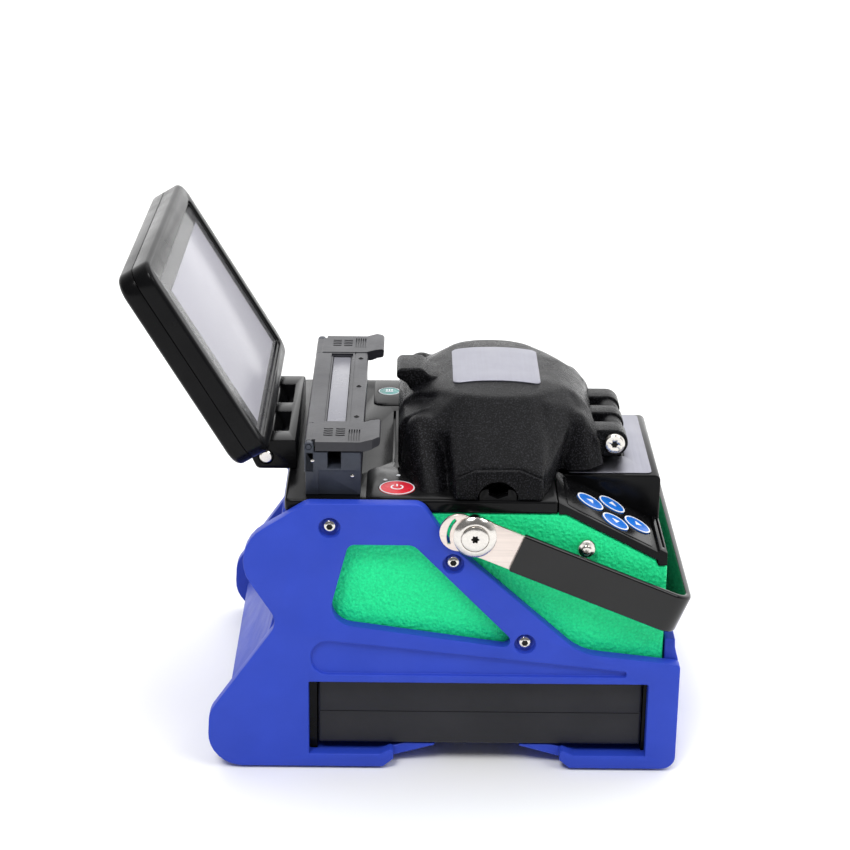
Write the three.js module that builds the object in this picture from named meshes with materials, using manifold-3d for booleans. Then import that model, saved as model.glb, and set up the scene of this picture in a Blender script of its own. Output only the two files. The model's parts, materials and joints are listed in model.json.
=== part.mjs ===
// Fiber fusion splicer: a standalone three.js model, in millimetres, +Z up.
// Bench frame while building: x = 0 at the rear end of the protective boot and grows towards the keypads,
// y = 0 is the middle plane (the near side is -y), z = 0 is the underside of the boot.
// The finished group is then moved so that its own box is centred on the origin and stands on z = 0.
import * as THREE from "three";
import { mergeVertices } from "three/addons/utils/BufferGeometryUtils.js";
import Module from "manifold-3d";

const wasm = await Module();
wasm.setup();

// ---------------------------------------------------------------- driving dimensions (mm)
const BOOT_LENGTH = 170;
const BOOT_HALF_WIDTH = 68.5;
const BOOT_WALL = 5;
const FOOT_DROP = 1; // how far the rubber feet stand below the boot
const FOOT_RADIUS = 4.8;
const GAP = 0.3; // clearance kept between neighbouring pieces

const CASE_HALF_WIDTH = BOOT_HALF_WIDTH - BOOT_WALL - 0.5;
const CASE_WALL = 3;
const CASE_REAR = 30.3;
const CASE_FRONT = 163.9;
const CASE_FLOOR = 36.3;
const DECK_UNDER = 98.6;
const DECK_TOP = 103.3;
const DECK_FRONT = 124.3; // where the deck ends and the keypad wings start to slope
const PLATEAU_TOP = 101;
const PLATEAU_HALF_WIDTH = 31.9;
const WING_DROP = 20.5; // fall of the keypad wing over its length
const WING_LENGTH = 39.4;

const BATTERY = { rear: 39.5, front: 157.3, under: 7.4, top: 33.6, near: -64, far: 50 };

const MONITOR_PIN = { x: 19.9, z: 108.1, radius: 2.35 };
const MONITOR_LEAN = 31; // degrees back from upright
const MONITOR = { halfWidth: 59, low: 7.2, high: 87.2, back: -5.4, front: 7.6, corner: 8 };
const SCREEN = { near: -42, far: 51, low: 14, high: 73.3 };
const GLASS = { halfWidth: 51.7, low: 13.3, high: 78.4, thick: 0.8 };

const HEATER = { rear: 35.3, front: 54.7, halfLength: 59.2, top: 119.3 };
const HEATER_PIN = { x: 36.4, z: 121.4, radius: 0.9 };
const LID_TOP = 123;

const HOOD_PIN = { x: 147, z: 110, radius: 1.9 };
const HOOD_KNUCKLE = 5.1;
const HOOD_WALL = 2.6;
const HOOD_UNDER = DECK_TOP + 0.4;
const FIBRE_X = 103; // the fibre runs along y at this x

const HANDLE_PIVOT = { x: 95, z: 93.3 };
const HANDLE_TILT = 22.5; // degrees below level
const HANDLE = { reach: 81.2, halfWidth: 72.3, thick: 2.6, height: 15, corner: 7, sleeveStart: 16 };

const KEY_RADIUS = 5.3;
const KEY_TRAVEL = 0.5;

// The middle of the whole length, from the tilted monitor's back edge to the handle's bar.
const MIDDLE_X = 71.93;

const COLOUR = {
  boot: 0x2a3fb5, green: 0x12c97a, black: 0x17181a, grey: 0x4a4b50, silver: 0xb9bac2, nickel: 0xc9c4bb,
  rubber: 0x141416, red: 0xd51f2b, blue: 0x1f6fd6, teal: 0x4fa6a3, screen: 0xd9d9e6, pcb: 0x1c6b3a,
  brass: 0xb8954a, ceramic: 0xe4e0d6,
};

// ---------------------------------------------------------------- small helpers
function solidOf(geometry) {
  const bare = new THREE.BufferGeometry();
  bare.setAttribute("position", geometry.getAttribute("position"));
  if (geometry.index) bare.setIndex(geometry.index);
  const merged = mergeVertices(bare, 1e-4);
  const vertProperties = new Float32Array(merged.attributes.position.array);
  const triVerts = new Uint32Array(merged.index.array);
  return new wasm.Manifold(new wasm.Mesh({ numProp: 3, vertProperties, triVerts }));
}

function geometryOf(solid) {
  const mesh = solid.getMesh();
  const geometry = new THREE.BufferGeometry();
  geometry.setAttribute("position", new THREE.BufferAttribute(new Float32Array(mesh.vertProperties), 3));
  geometry.setIndex(new THREE.BufferAttribute(new Uint32Array(mesh.triVerts), 1));
  geometry.computeVertexNormals();
  return geometry;
}

const join = (...solids) => solids.reduce((a, b) => a.add(b));
const cut = (solid, ...tools) => tools.reduce((a, b) => a.subtract(b), solid);

function box(x0, x1, y0, y1, z0, z1) {
  const geometry = new THREE.BoxGeometry(x1 - x0, y1 - y0, z1 - z0);
  return solidOf(geometry.translate((x0 + x1) / 2, (y0 + y1) / 2, (z0 + z1) / 2));
}

// A closed outline from corners [u, v, radius]; a radius of 0 or none leaves the corner sharp.
function outline(corners) {
  const shape = new THREE.Shape();
  const count = corners.length;
  corners.forEach(([u, v, radius = 0], i) => {
    const here = new THREE.Vector2(u, v);
    const before = new THREE.Vector2(...corners[(i + count - 1) % count].slice(0, 2)).sub(here);
    const after = new THREE.Vector2(...corners[(i + 1) % count].slice(0, 2)).sub(here);
    const half = Math.acos(before.dot(after) / before.length() / after.length()) / 2;
    const reach = radius / Math.tan(half);
    const from = before.normalize().multiplyScalar(reach).add(here);
    const to = after.normalize().multiplyScalar(reach).add(here);
    if (i === 0) shape.moveTo(from.x, from.y);
    else shape.lineTo(from.x, from.y);
    if (radius > 0) shape.quadraticCurveTo(here.x, here.y, to.x, to.y);
  });
  shape.closePath();
  return shape;
}

// An x-z outline made solid between two y values.
function slab(shape, y0, y1, curveSegments = 5) {
  const geometry = new THREE.ExtrudeGeometry(shape, { depth: y1 - y0, bevelEnabled: false, curveSegments });
  return solidOf(geometry.rotateX(Math.PI / 2).translate(0, y1, 0));
}

// An x-y outline made solid between two z values.
function tile(shape, z0, z1, curveSegments = 5) {
  const geometry = new THREE.ExtrudeGeometry(shape, { depth: z1 - z0, bevelEnabled: false, curveSegments });
  return solidOf(geometry.translate(0, 0, z0));
}

// A y-z outline made solid between two x values.
function panel(shape, x0, x1, curveSegments = 5) {
  const geometry = new THREE.ExtrudeGeometry(shape, { depth: x1 - x0, bevelEnabled: false, curveSegments });
  return solidOf(geometry.rotateX(Math.PI / 2).rotateZ(Math.PI / 2).translate(x0, 0, 0));
}

function rodY(x, z, radius, y0, y1, segments = 24) {
  const geometry = new THREE.CylinderGeometry(radius, radius, y1 - y0, segments);
  return solidOf(geometry.translate(x, (y0 + y1) / 2, z));
}

function rodZ(x, y, radius, z0, z1, segments = 32) {
  const geometry = new THREE.CylinderGeometry(radius, radius, z1 - z0, segments).rotateX(Math.PI / 2);
  return solidOf(geometry.translate(x, y, (z0 + z1) / 2));
}

function coneX(x0, x1, radius0, radius1, y, z) {
  const geometry = new THREE.CylinderGeometry(radius1, radius0, x1 - x0, 16).rotateZ(-Math.PI / 2);
  return solidOf(geometry.translate((x0 + x1) / 2, y, z));
}

// A solid of revolution about y through (x, z); profile holds [radius, y] pairs and closes on the axis.
function turnedY(profile, x, z, segments = 28) {
  const points = profile.map(([radius, y]) => new THREE.Vector2(radius, y));
  return solidOf(new THREE.LatheGeometry(points, segments).translate(x, 0, z));
}

// A skin through x-z sections that hold the same number of points, closed by flat ends.
function loft(sections) {
  const size = sections[0].points.length;
  const positions = sections.flatMap(({ y, points }) => points.flatMap(([x, z]) => [x, y, z]));
  const index = [];
  for (let s = 0; s + 1 < sections.length; s += 1) {
    for (let i = 0; i < size; i += 1) {
      const a = s * size + i;
      const b = s * size + ((i + 1) % size);
      index.push(a, b, a + size, b, b + size, a + size);
    }
  }
  const last = (sections.length - 1) * size;
  const faces = THREE.ShapeUtils.triangulateShape(
    sections[0].points.map(([x, z]) => new THREE.Vector2(x, z)), []);
  const lastFaces = THREE.ShapeUtils.triangulateShape(
    sections.at(-1).points.map(([x, z]) => new THREE.Vector2(x, z)), []);
  faces.forEach(([a, b, c]) => index.push(a, c, b));
  lastFaces.forEach(([a, b, c]) => index.push(last + a, last + b, last + c));
  const geometry = new THREE.BufferGeometry();
  geometry.setAttribute("position", new THREE.Float32BufferAttribute(positions, 3));
  geometry.setIndex(index);
  let solid = solidOf(geometry);
  if (solid.volume() < 0) {
    geometry.setIndex(index.map((_, i) => index[i - (i % 3) + 2 - (i % 3)]));
    solid = solidOf(geometry);
  }
  return solid;
}

const mirrored = (solid) => {
  const geometry = geometryOf(solid).scale(1, -1, 1);
  const index = geometry.index.array;
  for (let i = 0; i < index.length; i += 3) [index[i + 1], index[i + 2]] = [index[i + 2], index[i + 1]];
  return solidOf(geometry);
};

const splicer = new THREE.Group();
const finishes = {
  shell: { roughness: 0.55, metalness: 0 },
  gloss: { roughness: 0.15, metalness: 0 },
  metal: { roughness: 0.3, metalness: 1 },
};

function piece(parent, name, solid, color, finish = "shell") {
  const mesh = new THREE.Mesh(geometryOf(solid), new THREE.MeshStandardMaterial({ color, ...finishes[finish] }));
  mesh.name = name;
  parent.add(mesh);
}

// The near piece and its mirror image on the far side.
function pair(parent, name, solid, color, finish) {
  piece(parent, name + "_near", solid, color, finish);
  piece(parent, name + "_far", mirrored(solid), color, finish);
}

// ---------------------------------------------------------------- protective boot
const BOOT_SCREWS = [[44, 94.6], [87.7, 81.2], [113.8, 50.1]];
const BAY = { rear: 36.3, front: 158.8, top: 34.3, lip: 5.1 };

function bootSide(top) {
  const profile = outline([
    [35.9, top, 6], [7.7, 85.9, 15], [25.6, 57.7, 9], [0.2, 21.5, 10], [-1, 0, 12.5],
    [63.2, 0, 1], [67, 3.2], [67, 6.4], [65.9, 7], [62, BAY.lip, 1],
    [BAY.rear, BAY.lip, 0.8], [BAY.rear, BAY.top, 0.8], [BAY.front, BAY.top, 0.8], [BAY.front, BAY.lip, 0.8],
    [132.8, BAY.lip, 1], [128.7, 7], [127.6, 6.4], [127.6, 3.2], [131.4, 0, 1],
    [BOOT_LENGTH - 0.1, 0, 5], [BOOT_LENGTH - 0.1, 42.2, 1.5], [133.9, 46.4, 20], [87, 88.3, 5], [76.7, top, 6],
  ]);
  const window = outline([[50.6, 88.2, 3], [42.8, 57.8, 8], [112.8, 47.9, 3], [73.6, 88.2, 4]]);
  const groove = outline([[37.2, 51.3, 6.2], [37.2, 37.4, 6.2], [150.6, 37.1, 1], [150.6, 39.4, 1]]);
  const outer = -BOOT_HALF_WIDTH;
  const inner = outer + BOOT_WALL;
  const plate = slab(profile, outer, inner);
  const sinks = BOOT_SCREWS.map(([x, z]) => rodY(x, z, 3.8, outer - 1, outer + 2.6, 20));
  return cut(plate, slab(window, outer - 1, inner + 1), slab(groove, outer - 1, outer + 1.3), ...sinks);
}

function bootRearWall() {
  const y = BOOT_HALF_WIDTH - BOOT_WALL - GAP;
  const outside = [[27, 97.8], [25.8, 75], [24, 60], [19.4, 42], [12.4, 26], [5, 14], [3.4, 1.2]];
  return slab(outline([...outside, [13.4, 1.2], [29.8, 72], [29.8, 97.8]]), -y, y);
}

function bootFrontWall() {
  const y = BOOT_HALF_WIDTH - BOOT_WALL - GAP;
  const inside = CASE_FRONT + 0.6;
  const rim = outline([[inside, 50.5, 0.6], [inside, 1.2], [169.6, 1.2, 1], [169.6, 42, 1], [168.3, 46.7], [168.1, 50.5, 0.6]]);
  return slab(rim, -y, y);
}

function bootFloor() {
  const y = BOOT_HALF_WIDTH - BOOT_WALL - GAP;
  const top = BATTERY.under - 0.4;
  const rear = slab(outline([[14.5, 1.2], [64.5, 1.2], [82, 6.2], [82, top], [71, top], [61, 4.2], [14.5, 4.2]]), -y, y);
  const front = slab(outline([[113, 6.2], [130.5, 1.2], [163.9, 1.2], [163.9, 4.2], [134, 4.2], [124, top], [113, top]]), -y, y);
  return join(rear, front, box(81, 114, -48, 48, 4.2, top));
}

function foot(x, y) {
  return rodZ(x, y, FOOT_RADIUS, -FOOT_DROP, 0.9, 24);
}

// ---------------------------------------------------------------- case
function caseSide() {
  const profile = outline([
    [CASE_REAR, 98.3], [CASE_REAR, CASE_FLOOR], [CASE_FRONT, CASE_FLOOR], [CASE_FRONT, 78.9],
    [160.2, 78.9], [160.2, 80.9], [127.2, 98.3],
  ]);
  return slab(profile, -CASE_HALF_WIDTH, -CASE_HALF_WIDTH + CASE_WALL);
}

function caseEnd(x0, x1, top) {
  const y = CASE_HALF_WIDTH - CASE_WALL - GAP;
  return box(x0, x1, -y, y, CASE_FLOOR, top);
}

// The battery bay: a ceiling that comes down at each end, and a wall behind the terminals.
function batteryBay() {
  const y = CASE_HALF_WIDTH - 0.1;
  const rear = BATTERY.rear - GAP;
  const front = BATTERY.front + GAP;
  const under = BATTERY.top + GAP;
  const high = CASE_FLOOR - GAP;
  const section = outline([
    [CASE_REAR + 1, high], [CASE_REAR + 1, under], [CASE_REAR + 3, 4.6], [rear, 4.6], [rear, under],
    [front, under], [front, 4.6], [CASE_FRONT - 0.3, 4.6], [CASE_FRONT - 0.3, high],
  ]);
  const farWall = box(rear - 1, front + 1, y - 4.2, y - 0.4, BATTERY.under, high - 1);
  return join(slab(section, -y, y), farWall);
}

function batteryTerminals() {
  const blades = [-12, -4, 4, 12].map((dx) => box(98 + dx - 1, 98 + dx + 1, 51, 54, 14, 26));
  return join(box(80, 116, 53.4, 58.2, 11, 29), ...blades);
}

function batteryPack() {
  const { rear, front, under, top, near, far } = BATTERY;
  const pack = slab(outline([[rear, under, 0.8], [front, under, 0.8], [front, top, 0.8], [rear, top, 0.8]]), near, far);
  const seam = 20.6;
  const seamDepth = 0.6;
  return cut(pack, box(rear - 1, front + 1, near - 1, near + seamDepth, seam - 0.2, seam + 0.2));
}

// ---------------------------------------------------------------- deck, wings and plateau
const POWER = { x: 67.5, y: -52.6, radius: 6.4 };
const HEAT = { x: 63.6, y: 48.6, radius: 4.4 };
const WELL = { rear: 80, front: 121, halfWidth: 34 };

function deckPlate() {
  const y = CASE_HALF_WIDTH + 0.4;
  const plate = tile(outline([[28, -y, 2], [DECK_FRONT, -y], [DECK_FRONT, y], [28, y, 2]]), DECK_UNDER, DECK_TOP);
  const { rear, front, halfWidth } = WELL;
  const well = box(rear, front, -halfWidth, halfWidth, DECK_UNDER - 1, DECK_TOP + 1);
  const fibreGroove = box(FIBRE_X - 1.2, FIBRE_X + 1.2, -y - 1, y + 1, DECK_TOP - 1.2, DECK_TOP + 9);
  const seats = [POWER, HEAT].map((b) => rodZ(b.x, b.y, b.radius + 0.25, DECK_UNDER - 1, DECK_TOP + 1));
  const guide = fibreGuide();
  return cut(join(cut(plate, well, ...seats), guide, mirrored(guide)), fibreGroove);
}

// The half-round block on the deck's near edge that guides the fibre into the stage.
function fibreGuide() {
  const y0 = -CASE_HALF_WIDTH + 0.5;
  const corners = [[FIBRE_X - 6.2, DECK_TOP - 1], [FIBRE_X + 6.2, DECK_TOP - 1], [FIBRE_X + 6.2, 109.6, 5.5],
    [FIBRE_X - 6.2, 109.6, 5.5]];
  return slab(outline(corners), y0, y0 + 3.6);
}

const WING_SLOPE = Math.atan2(WING_DROP, WING_LENGTH);
const wingHeight = (x) => DECK_TOP - 0.2 - (x - DECK_FRONT) * (WING_DROP / WING_LENGTH);
const KEY_SPOTS = { rear: [136.7, -47.6], far: [145.3, -39.4], near: [145.3, -55.2], front: [154, -47.2] };

// A round post standing square to the wing's slope at (x, y), from one height above its top to another.
function wingPost(x, y, radius, low, high, segments = 28) {
  const geometry = new THREE.CylinderGeometry(radius, radius, high - low, segments).rotateX(Math.PI / 2);
  geometry.translate(0, 0, (low + high) / 2).rotateY(WING_SLOPE).translate(x, y, wingHeight(x));
  return solidOf(geometry);
}

function keypadWing(withKeys) {
  const y0 = -CASE_HALF_WIDTH - 0.4;
  const start = DECK_FRONT + GAP;
  const end = DECK_FRONT + WING_LENGTH;
  const section = outline([
    [start, wingHeight(start)], [start, DECK_UNDER], [127.3, DECK_UNDER], [160.5, 81.2], [160.5, 79.2],
    [end, 79.2], [end, wingHeight(end) + 1.4], [end - 3, wingHeight(end - 3) + 1.4], [end - 3, wingHeight(end - 3)],
  ]);
  const wing = slab(section, y0, -PLATEAU_HALF_WIDTH - GAP);
  if (!withKeys) return wing;
  const holes = Object.values(KEY_SPOTS).map(([x, y]) => wingPost(x, y, KEY_RADIUS + 0.25, -12, 6));
  return cut(wing, ...holes);
}

function frontBox() {
  const end = DECK_FRONT + WING_LENGTH;
  const y = PLATEAU_HALF_WIDTH;
  const section = outline([[DECK_FRONT + 0.6, PLATEAU_TOP], [DECK_FRONT + 0.6, 96], [156, 79.2], [end, 79.2, 0.5], [end, PLATEAU_TOP, 2.5]]);
  return slab(section, -y, y);
}

// The blank silver plate on the plateau; it is cut away round the hood's hinge.
function frontLabel() {
  const y = PLATEAU_HALF_WIDTH - 1.6;
  const plate = tile(outline([[130, -y, 1], [160, -y, 2], [160, y, 2], [130, y, 1]]), PLATEAU_TOP + 0.1, PLATEAU_TOP + 0.5);
  return cut(plate, box(120, 153.4, -24, 24, PLATEAU_TOP - 1, PLATEAU_TOP + 2));
}

// ---------------------------------------------------------------- monitor
const KNUCKLE_SPAN = [5.2, 24.9];

function monitorBracket() {
  const profile = outline([[31, 103.5, 0.5], [31, 114.6, 1], [17.6, 114.6, 3], [14.2, 108.5, 3], [16.6, 103.5, 2]]);
  const body = slab(profile, -35, 35);
  const pockets = [[-25.3, -4.8], [4.8, 25.3]].map(([y0, y1]) => box(10, 27.4, y0, y1, 100, 120));
  return cut(body, ...pockets, rodY(MONITOR_PIN.x, MONITOR_PIN.z, MONITOR_PIN.radius + 0.25, -40, 40));
}

function monitorPin() {
  return rodY(MONITOR_PIN.x, MONITOR_PIN.z, MONITOR_PIN.radius, -35.4, 35.4);
}

// Monitor pieces are built upright in a frame at the hinge pin: +x faces the operator, +z runs up the monitor.
function monitorBlock(front, back, inset = 0, corner = MONITOR.corner) {
  const y = MONITOR.halfWidth - inset;
  const low = MONITOR.low + inset;
  const high = MONITOR.high - inset;
  const face = outline([[-y, low, corner], [y, low, corner], [y, high, corner], [-y, high, corner]]);
  return panel(face, back, front, 4);
}

function monitorBack() {
  const shell = monitorBlock(0.9, MONITOR.back + 1.2);
  const crown = monitorBlock(MONITOR.back + 1.3, MONITOR.back, 1.2);
  const knuckle = outline([[-4.9, -4.9, 4.4], [4.9, -4.9, 4.8], [4.9, 4.2, 1], [2.6, 6.7], [0.7, 6.9], [0.7, 8.4], [-4, 8.4]]);
  const [y0, y1] = KNUCKLE_SPAN;
  const arms = [[-y1, -y0], [y0, y1]].map(([a, b]) => slab(knuckle, a, b));
  return cut(join(shell, crown, ...arms), rodY(0, 0, MONITOR_PIN.radius + 0.25, -40, 40));
}

function screenOpening(halfWidth, low, high, back, front, radius) {
  const hole = outline([[-halfWidth, low, radius], [halfWidth, low, radius], [halfWidth, high, radius], [-halfWidth, high, radius]]);
  return panel(hole, back, front, 2);
}

function monitorBezel() {
  const { halfWidth, low, high } = GLASS;
  const ring = join(monitorBlock(MONITOR.front - 1, 1.2), monitorBlock(MONITOR.front, MONITOR.front - 1.1, 1));
  const glassSeat = screenOpening(halfWidth + GAP, low - GAP, high + GAP, 5.5, 9, 2);
  const well = screenOpening(halfWidth - 0.4, low + 0.4, high - 0.4, 0, 9, 1);
  return cut(ring, glassSeat, well);
}

function screenGlass() {
  return screenOpening(GLASS.halfWidth, GLASS.low, GLASS.high, 5.8, 5.8 + GLASS.thick, 2);
}

// The display module sits off centre under the glass: it reaches further to the far side and downwards.
function lcdPanel() {
  const { near, far, low, high } = SCREEN;
  const face = outline([[near, low, 0.5], [far, low, 0.5], [far, high, 0.5], [near, high, 0.5]]);
  return panel(face, 2, 5.4, 2);
}

// ---------------------------------------------------------------- sleeve heater
function heaterBase() {
  const { rear, front, halfLength, top } = HEATER;
  const section = outline([[rear, 103.5, 0.5], [front, 103.5, 0.5], [front, top, 0.8], [rear, top, 0.3]]);
  const body = slab(section, -halfLength, halfLength);
  const lugs = [[-halfLength, -56.4], [56.4, halfLength]].map(([y0, y1]) => slab(
    outline([[34.9, 112], [38.2, 112], [38.2, 123, 1.4], [34.9, 123, 1.4]]), y0, y1));
  const channel = box(42, 49.2, -halfLength - 1, halfLength + 1, 111, 122);
  const bore = rodY(HEATER_PIN.x, HEATER_PIN.z, HEATER_PIN.radius + 0.2, -62, 62, 16);
  return cut(join(body, ...lugs), channel, bore);
}

function heaterTrough() {
  const y = HEATER.halfLength - 0.4;
  return cut(box(42.3, 48.9, -y, y, 111.3, 119), box(43.1, 48.1, -y - 1, y + 1, 112.3, 122));
}

function heaterPin() {
  return rodY(HEATER_PIN.x, HEATER_PIN.z, HEATER_PIN.radius, -HEATER.halfLength, HEATER.halfLength, 16);
}

const LID_UNDER = HEATER.top + 0.5;
const LID_SPLIT = 38.8;

function heaterLid() {
  const slabSection = outline([[HEATER_PIN.x, LID_UNDER], [55.4, LID_UNDER, 0.6], [55.4, LID_TOP, 1], [HEATER_PIN.x, LID_TOP]]);
  const leaf = join(slab(slabSection, -LID_SPLIT, LID_SPLIT), rodY(HEATER_PIN.x, HEATER_PIN.z, 1.62, -LID_SPLIT, LID_SPLIT, 16));
  const window = box(41.8, 48.9, -36.9, 36.9, LID_UNDER - 1, LID_TOP + 1);
  return cut(leaf, window, rodY(HEATER_PIN.x, HEATER_PIN.z, HEATER_PIN.radius + 0.2, -60, 60, 16));
}

function heaterWindow() {
  return box(42.1, 48.6, -36.6, 36.6, LID_UNDER + 0.6, LID_TOP - 0.8);
}

// The near end clamp: it pins the fibre down at the mouth of the heater and ends in a finger tab.
function heaterClamp() {
  const y0 = -58.6;
  const y1 = -LID_SPLIT - GAP;
  const section = outline([[HEATER_PIN.x, LID_UNDER], [57, LID_UNDER, 1], [61.4, LID_UNDER + 1.4, 1], [61.6, LID_TOP + 1.6, 1.2],
    [58.4, LID_TOP + 0.3, 2], [HEATER_PIN.x, LID_TOP]]);
  const leaf = join(slab(section, y0, y1), rodY(HEATER_PIN.x, HEATER_PIN.z, 1.62, y0, y1, 16));
  const lugRoom = box(33, 38.6, y0 - 1, -56.1, 110, 126);
  return cut(leaf, lugRoom, rodY(HEATER_PIN.x, HEATER_PIN.z, HEATER_PIN.radius + 0.2, -62, 62, 16));
}

// ---------------------------------------------------------------- splicing stage under the hood
function spliceChassis() {
  const { rear, front, halfWidth } = WELL;
  return box(rear + GAP, front - GAP, -halfWidth + GAP, halfWidth - GAP, 86, 101.7);
}

function grooveBlock() {
  const block = box(FIBRE_X - 7, FIBRE_X + 7, -9, 9, 102, 106);
  const vee = slab(outline([[FIBRE_X - 1.1, 107], [FIBRE_X, 104.4], [FIBRE_X + 1.1, 107]]), -10, 10);
  const arcSlot = box(FIBRE_X - 8, FIBRE_X + 8, -1.6, 1.6, 104, 107);
  return cut(block, vee, arcSlot);
}

function electrode(side) {
  const base = FIBRE_X + side * 11.5;
  const holder = box(Math.min(base, base + side * 6), Math.max(base, base + side * 6), -4, 4, 102, 109);
  const near = FIBRE_X + side * 2.2;
  const shank = FIBRE_X + side * 6;
  const tip = side > 0 ? coneX(near, shank, 0.15, 1, 0, 106.6) : coneX(shank, near, 1, 0.15, 0, 106.6);
  const rod = side > 0 ? coneX(shank - 0.1, base + 1, 1, 1, 0, 106.6) : coneX(base - 1, shank + 0.1, 1, 1, 0, 106.6);
  return join(holder, rod, tip);
}

const CLAMP_PIN = { x: FIBRE_X + 8.4, z: 107.2, radius: 0.6 };

function fibreHolder() {
  const block = box(FIBRE_X - 8, FIBRE_X + 9.9, -32, -13, 102, 105.4);
  const lugs = [[-32, -28.6], [-16.4, -13]].map(([y0, y1]) => box(FIBRE_X + 6.9, FIBRE_X + 9.9, y0, y1, 105, 109));
  const groove = box(FIBRE_X - 0.6, FIBRE_X + 0.6, -33, -12, 104.6, 106);
  return cut(join(block, ...lugs), groove, rodY(CLAMP_PIN.x, CLAMP_PIN.z, CLAMP_PIN.radius + 0.2, -33, -12, 16));
}

// The clamp lid turns on two stub pins that are part of it.
function fibreClamp() {
  const leaf = box(FIBRE_X - 7, CLAMP_PIN.x, -28.2, -16.8, 105.8, 108);
  const barrel = rodY(CLAMP_PIN.x, CLAMP_PIN.z, 1.3, -28.2, -16.8, 16);
  return join(leaf, barrel, rodY(CLAMP_PIN.x, CLAMP_PIN.z, CLAMP_PIN.radius, -31.6, -13.4, 16));
}

// ---------------------------------------------------------------- hood
// Heights of the hood's skin at its corners, for one x-z section across it.
function hoodSection(y, leftX, shoulder, crown, rightX, floor) {
  return { y, points: [[leftX, floor], [rightX, floor], [rightX, crown - 2.2], [112, crown], [95, crown],
    [84, (crown + shoulder) / 2 + 0.8], [Math.max(75.5, leftX + 1), shoulder], [leftX, shoulder - 6]] };
}

function hoodBulk(skin) {
  const floor = HOOD_UNDER - (skin ? 5 : 0);
  const at = (y, leftX, shoulder, crown) => hoodSection(y, leftX + skin, shoulder - skin, crown - skin, 122.4 - skin, floor);
  const half = [[61.6, 75.4, 110, 107], [57.4, 75.4, 115, 112.6], [45.6, 75.2, 121.4, 120.4], [44.4, 67.5, 122.4, 121.2],
    [31, 67.5, 125.5, 130.2], [20, 67.5, 125.5, 131.4]];
  const reach = (y) => Math.sign(y) * (Math.abs(y) - skin * (Math.abs(y) > 60 ? 1 : 0));
  const near = half.map(([y, ...rest]) => at(reach(-y), ...rest));
  const far = half.map(([y, ...rest]) => at(reach(y), ...rest)).reverse();
  const main = loft([...near, ...far]);
  const y = 36.4 - skin;
  const shoulder = slab(outline([[117, floor], [142.6 - skin, floor], [142.2 - skin, 113.7 - skin, 2], [136, 122.9 - skin, 4],
    [126, 127.6 - skin, 3], [117, 129.6 - skin]]), -y, y, 3);
  return join(main, shoulder);
}

function hood() {
  const shell = cut(hoodBulk(0), hoodBulk(HOOD_WALL));
  const arch = rodY(FIBRE_X, HOOD_UNDER, 7.3, -70, 70, 28);
  const tab = slab(outline([[66.9, 130.6, 1], [66.9, 127.4, 1], [69, 122.6], [76.4, 121], [77, 126]]), -9, 9, 3);
  const { x, z } = HOOD_PIN;
  const knuckle = (y0, y1) => join(rodY(x, z, HOOD_KNUCKLE, y0, y1),
    slab(outline([[140.2, 106.2], [x, z - HOOD_KNUCKLE], [x, z + HOOD_KNUCKLE], [139, 117.6]]), y0, y1));
  const knuckles = [[-23, -13.3], [-4.2, 4.2], [13.3, 23]].map(([a, b]) => knuckle(a, b));
  const bore = rodY(x, z, HOOD_PIN.radius + 0.25, -40, 40);
  return cut(join(cut(shell, arch), tab, ...knuckles), bore);
}

function hoodLabel() {
  return tile(outline([[87, -18.5, 2.5], [119.4, -18.5, 2.5], [119.4, 18.5, 2.5], [87, 18.5, 2.5]]), 131.6, 132, 3);
}

function hoodBracket() {
  const { x, z } = HOOD_PIN;
  const base = box(143.4, 151.2, -13, 13, 101.15, 103.8);
  const ear = (y0, y1) => join(rodY(x, z, HOOD_KNUCKLE - 0.7, y0, y1), box(x - 2.6, x + 4.3, y0, y1, 103.5, z));
  return cut(join(base, ear(-12.9, -4.6), ear(4.6, 12.9)), rodY(x, z, HOOD_PIN.radius + 0.25, -40, 40));
}

function hoodPin() {
  const { x, z, radius } = HOOD_PIN;
  return turnedY([[0, -24.6], [2.4, -24.6], [3.5, -23.3], [radius, -23.3], [radius, 23.3], [3.5, 23.3], [2.4, 24.6], [0, 24.6]], x, z, 24);
}

// ---------------------------------------------------------------- carrying handle
// Handle pieces are built level in a frame at the pivot: +x runs along the arms, +z across the strap.
function bail(reach, halfWidth, thick, corner, start, halfHeight) {
  const inner = corner - thick;
  const plan = outline([
    [start, -halfWidth], [reach, -halfWidth, corner], [reach, halfWidth, corner], [start, halfWidth],
    [start, halfWidth - thick], [reach - thick, halfWidth - thick, inner], [reach - thick, -halfWidth + thick, inner],
    [start, -halfWidth + thick],
  ]);
  return tile(plan, -halfHeight, halfHeight, 4);
}

function handleStrap() {
  const inset = 0.6;
  const thick = HANDLE.thick - 2 * inset;
  const outer = HANDLE.halfWidth - inset;
  const strap = bail(HANDLE.reach - inset, outer, thick, HANDLE.corner - inset, -2, HANDLE.height / 2 - 0.6);
  const lobe = (y0, y1) => join(rodY(-5.4, -0.8, 6.7, y0, y1, 28), rodY(0, 0, 7.2, y0, y1, 28));
  const ends = join(strap, lobe(-outer, -outer + thick), lobe(outer - thick, outer));
  const slot = [];
  for (let angle = 150; angle <= 214; angle += 8) {
    const a = THREE.MathUtils.degToRad(angle);
    slot.push(rodY(9.2 * Math.cos(a), 9.2 * Math.sin(a), 0.85, -80, 80, 8));
  }
  return cut(ends, rodY(0, 0, 3.3, -80, 80), ...slot);
}

function handleSleeve() {
  const { reach, halfWidth, thick, corner, sleeveStart, height } = HANDLE;
  const outer = bail(reach, halfWidth, thick, corner, sleeveStart, height / 2);
  const inset = 0.4;
  const core = bail(reach - inset, halfWidth - inset, thick - 2 * inset, corner - inset, sleeveStart - 2, height / 2 - 0.4);
  return cut(outer, core);
}

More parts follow.
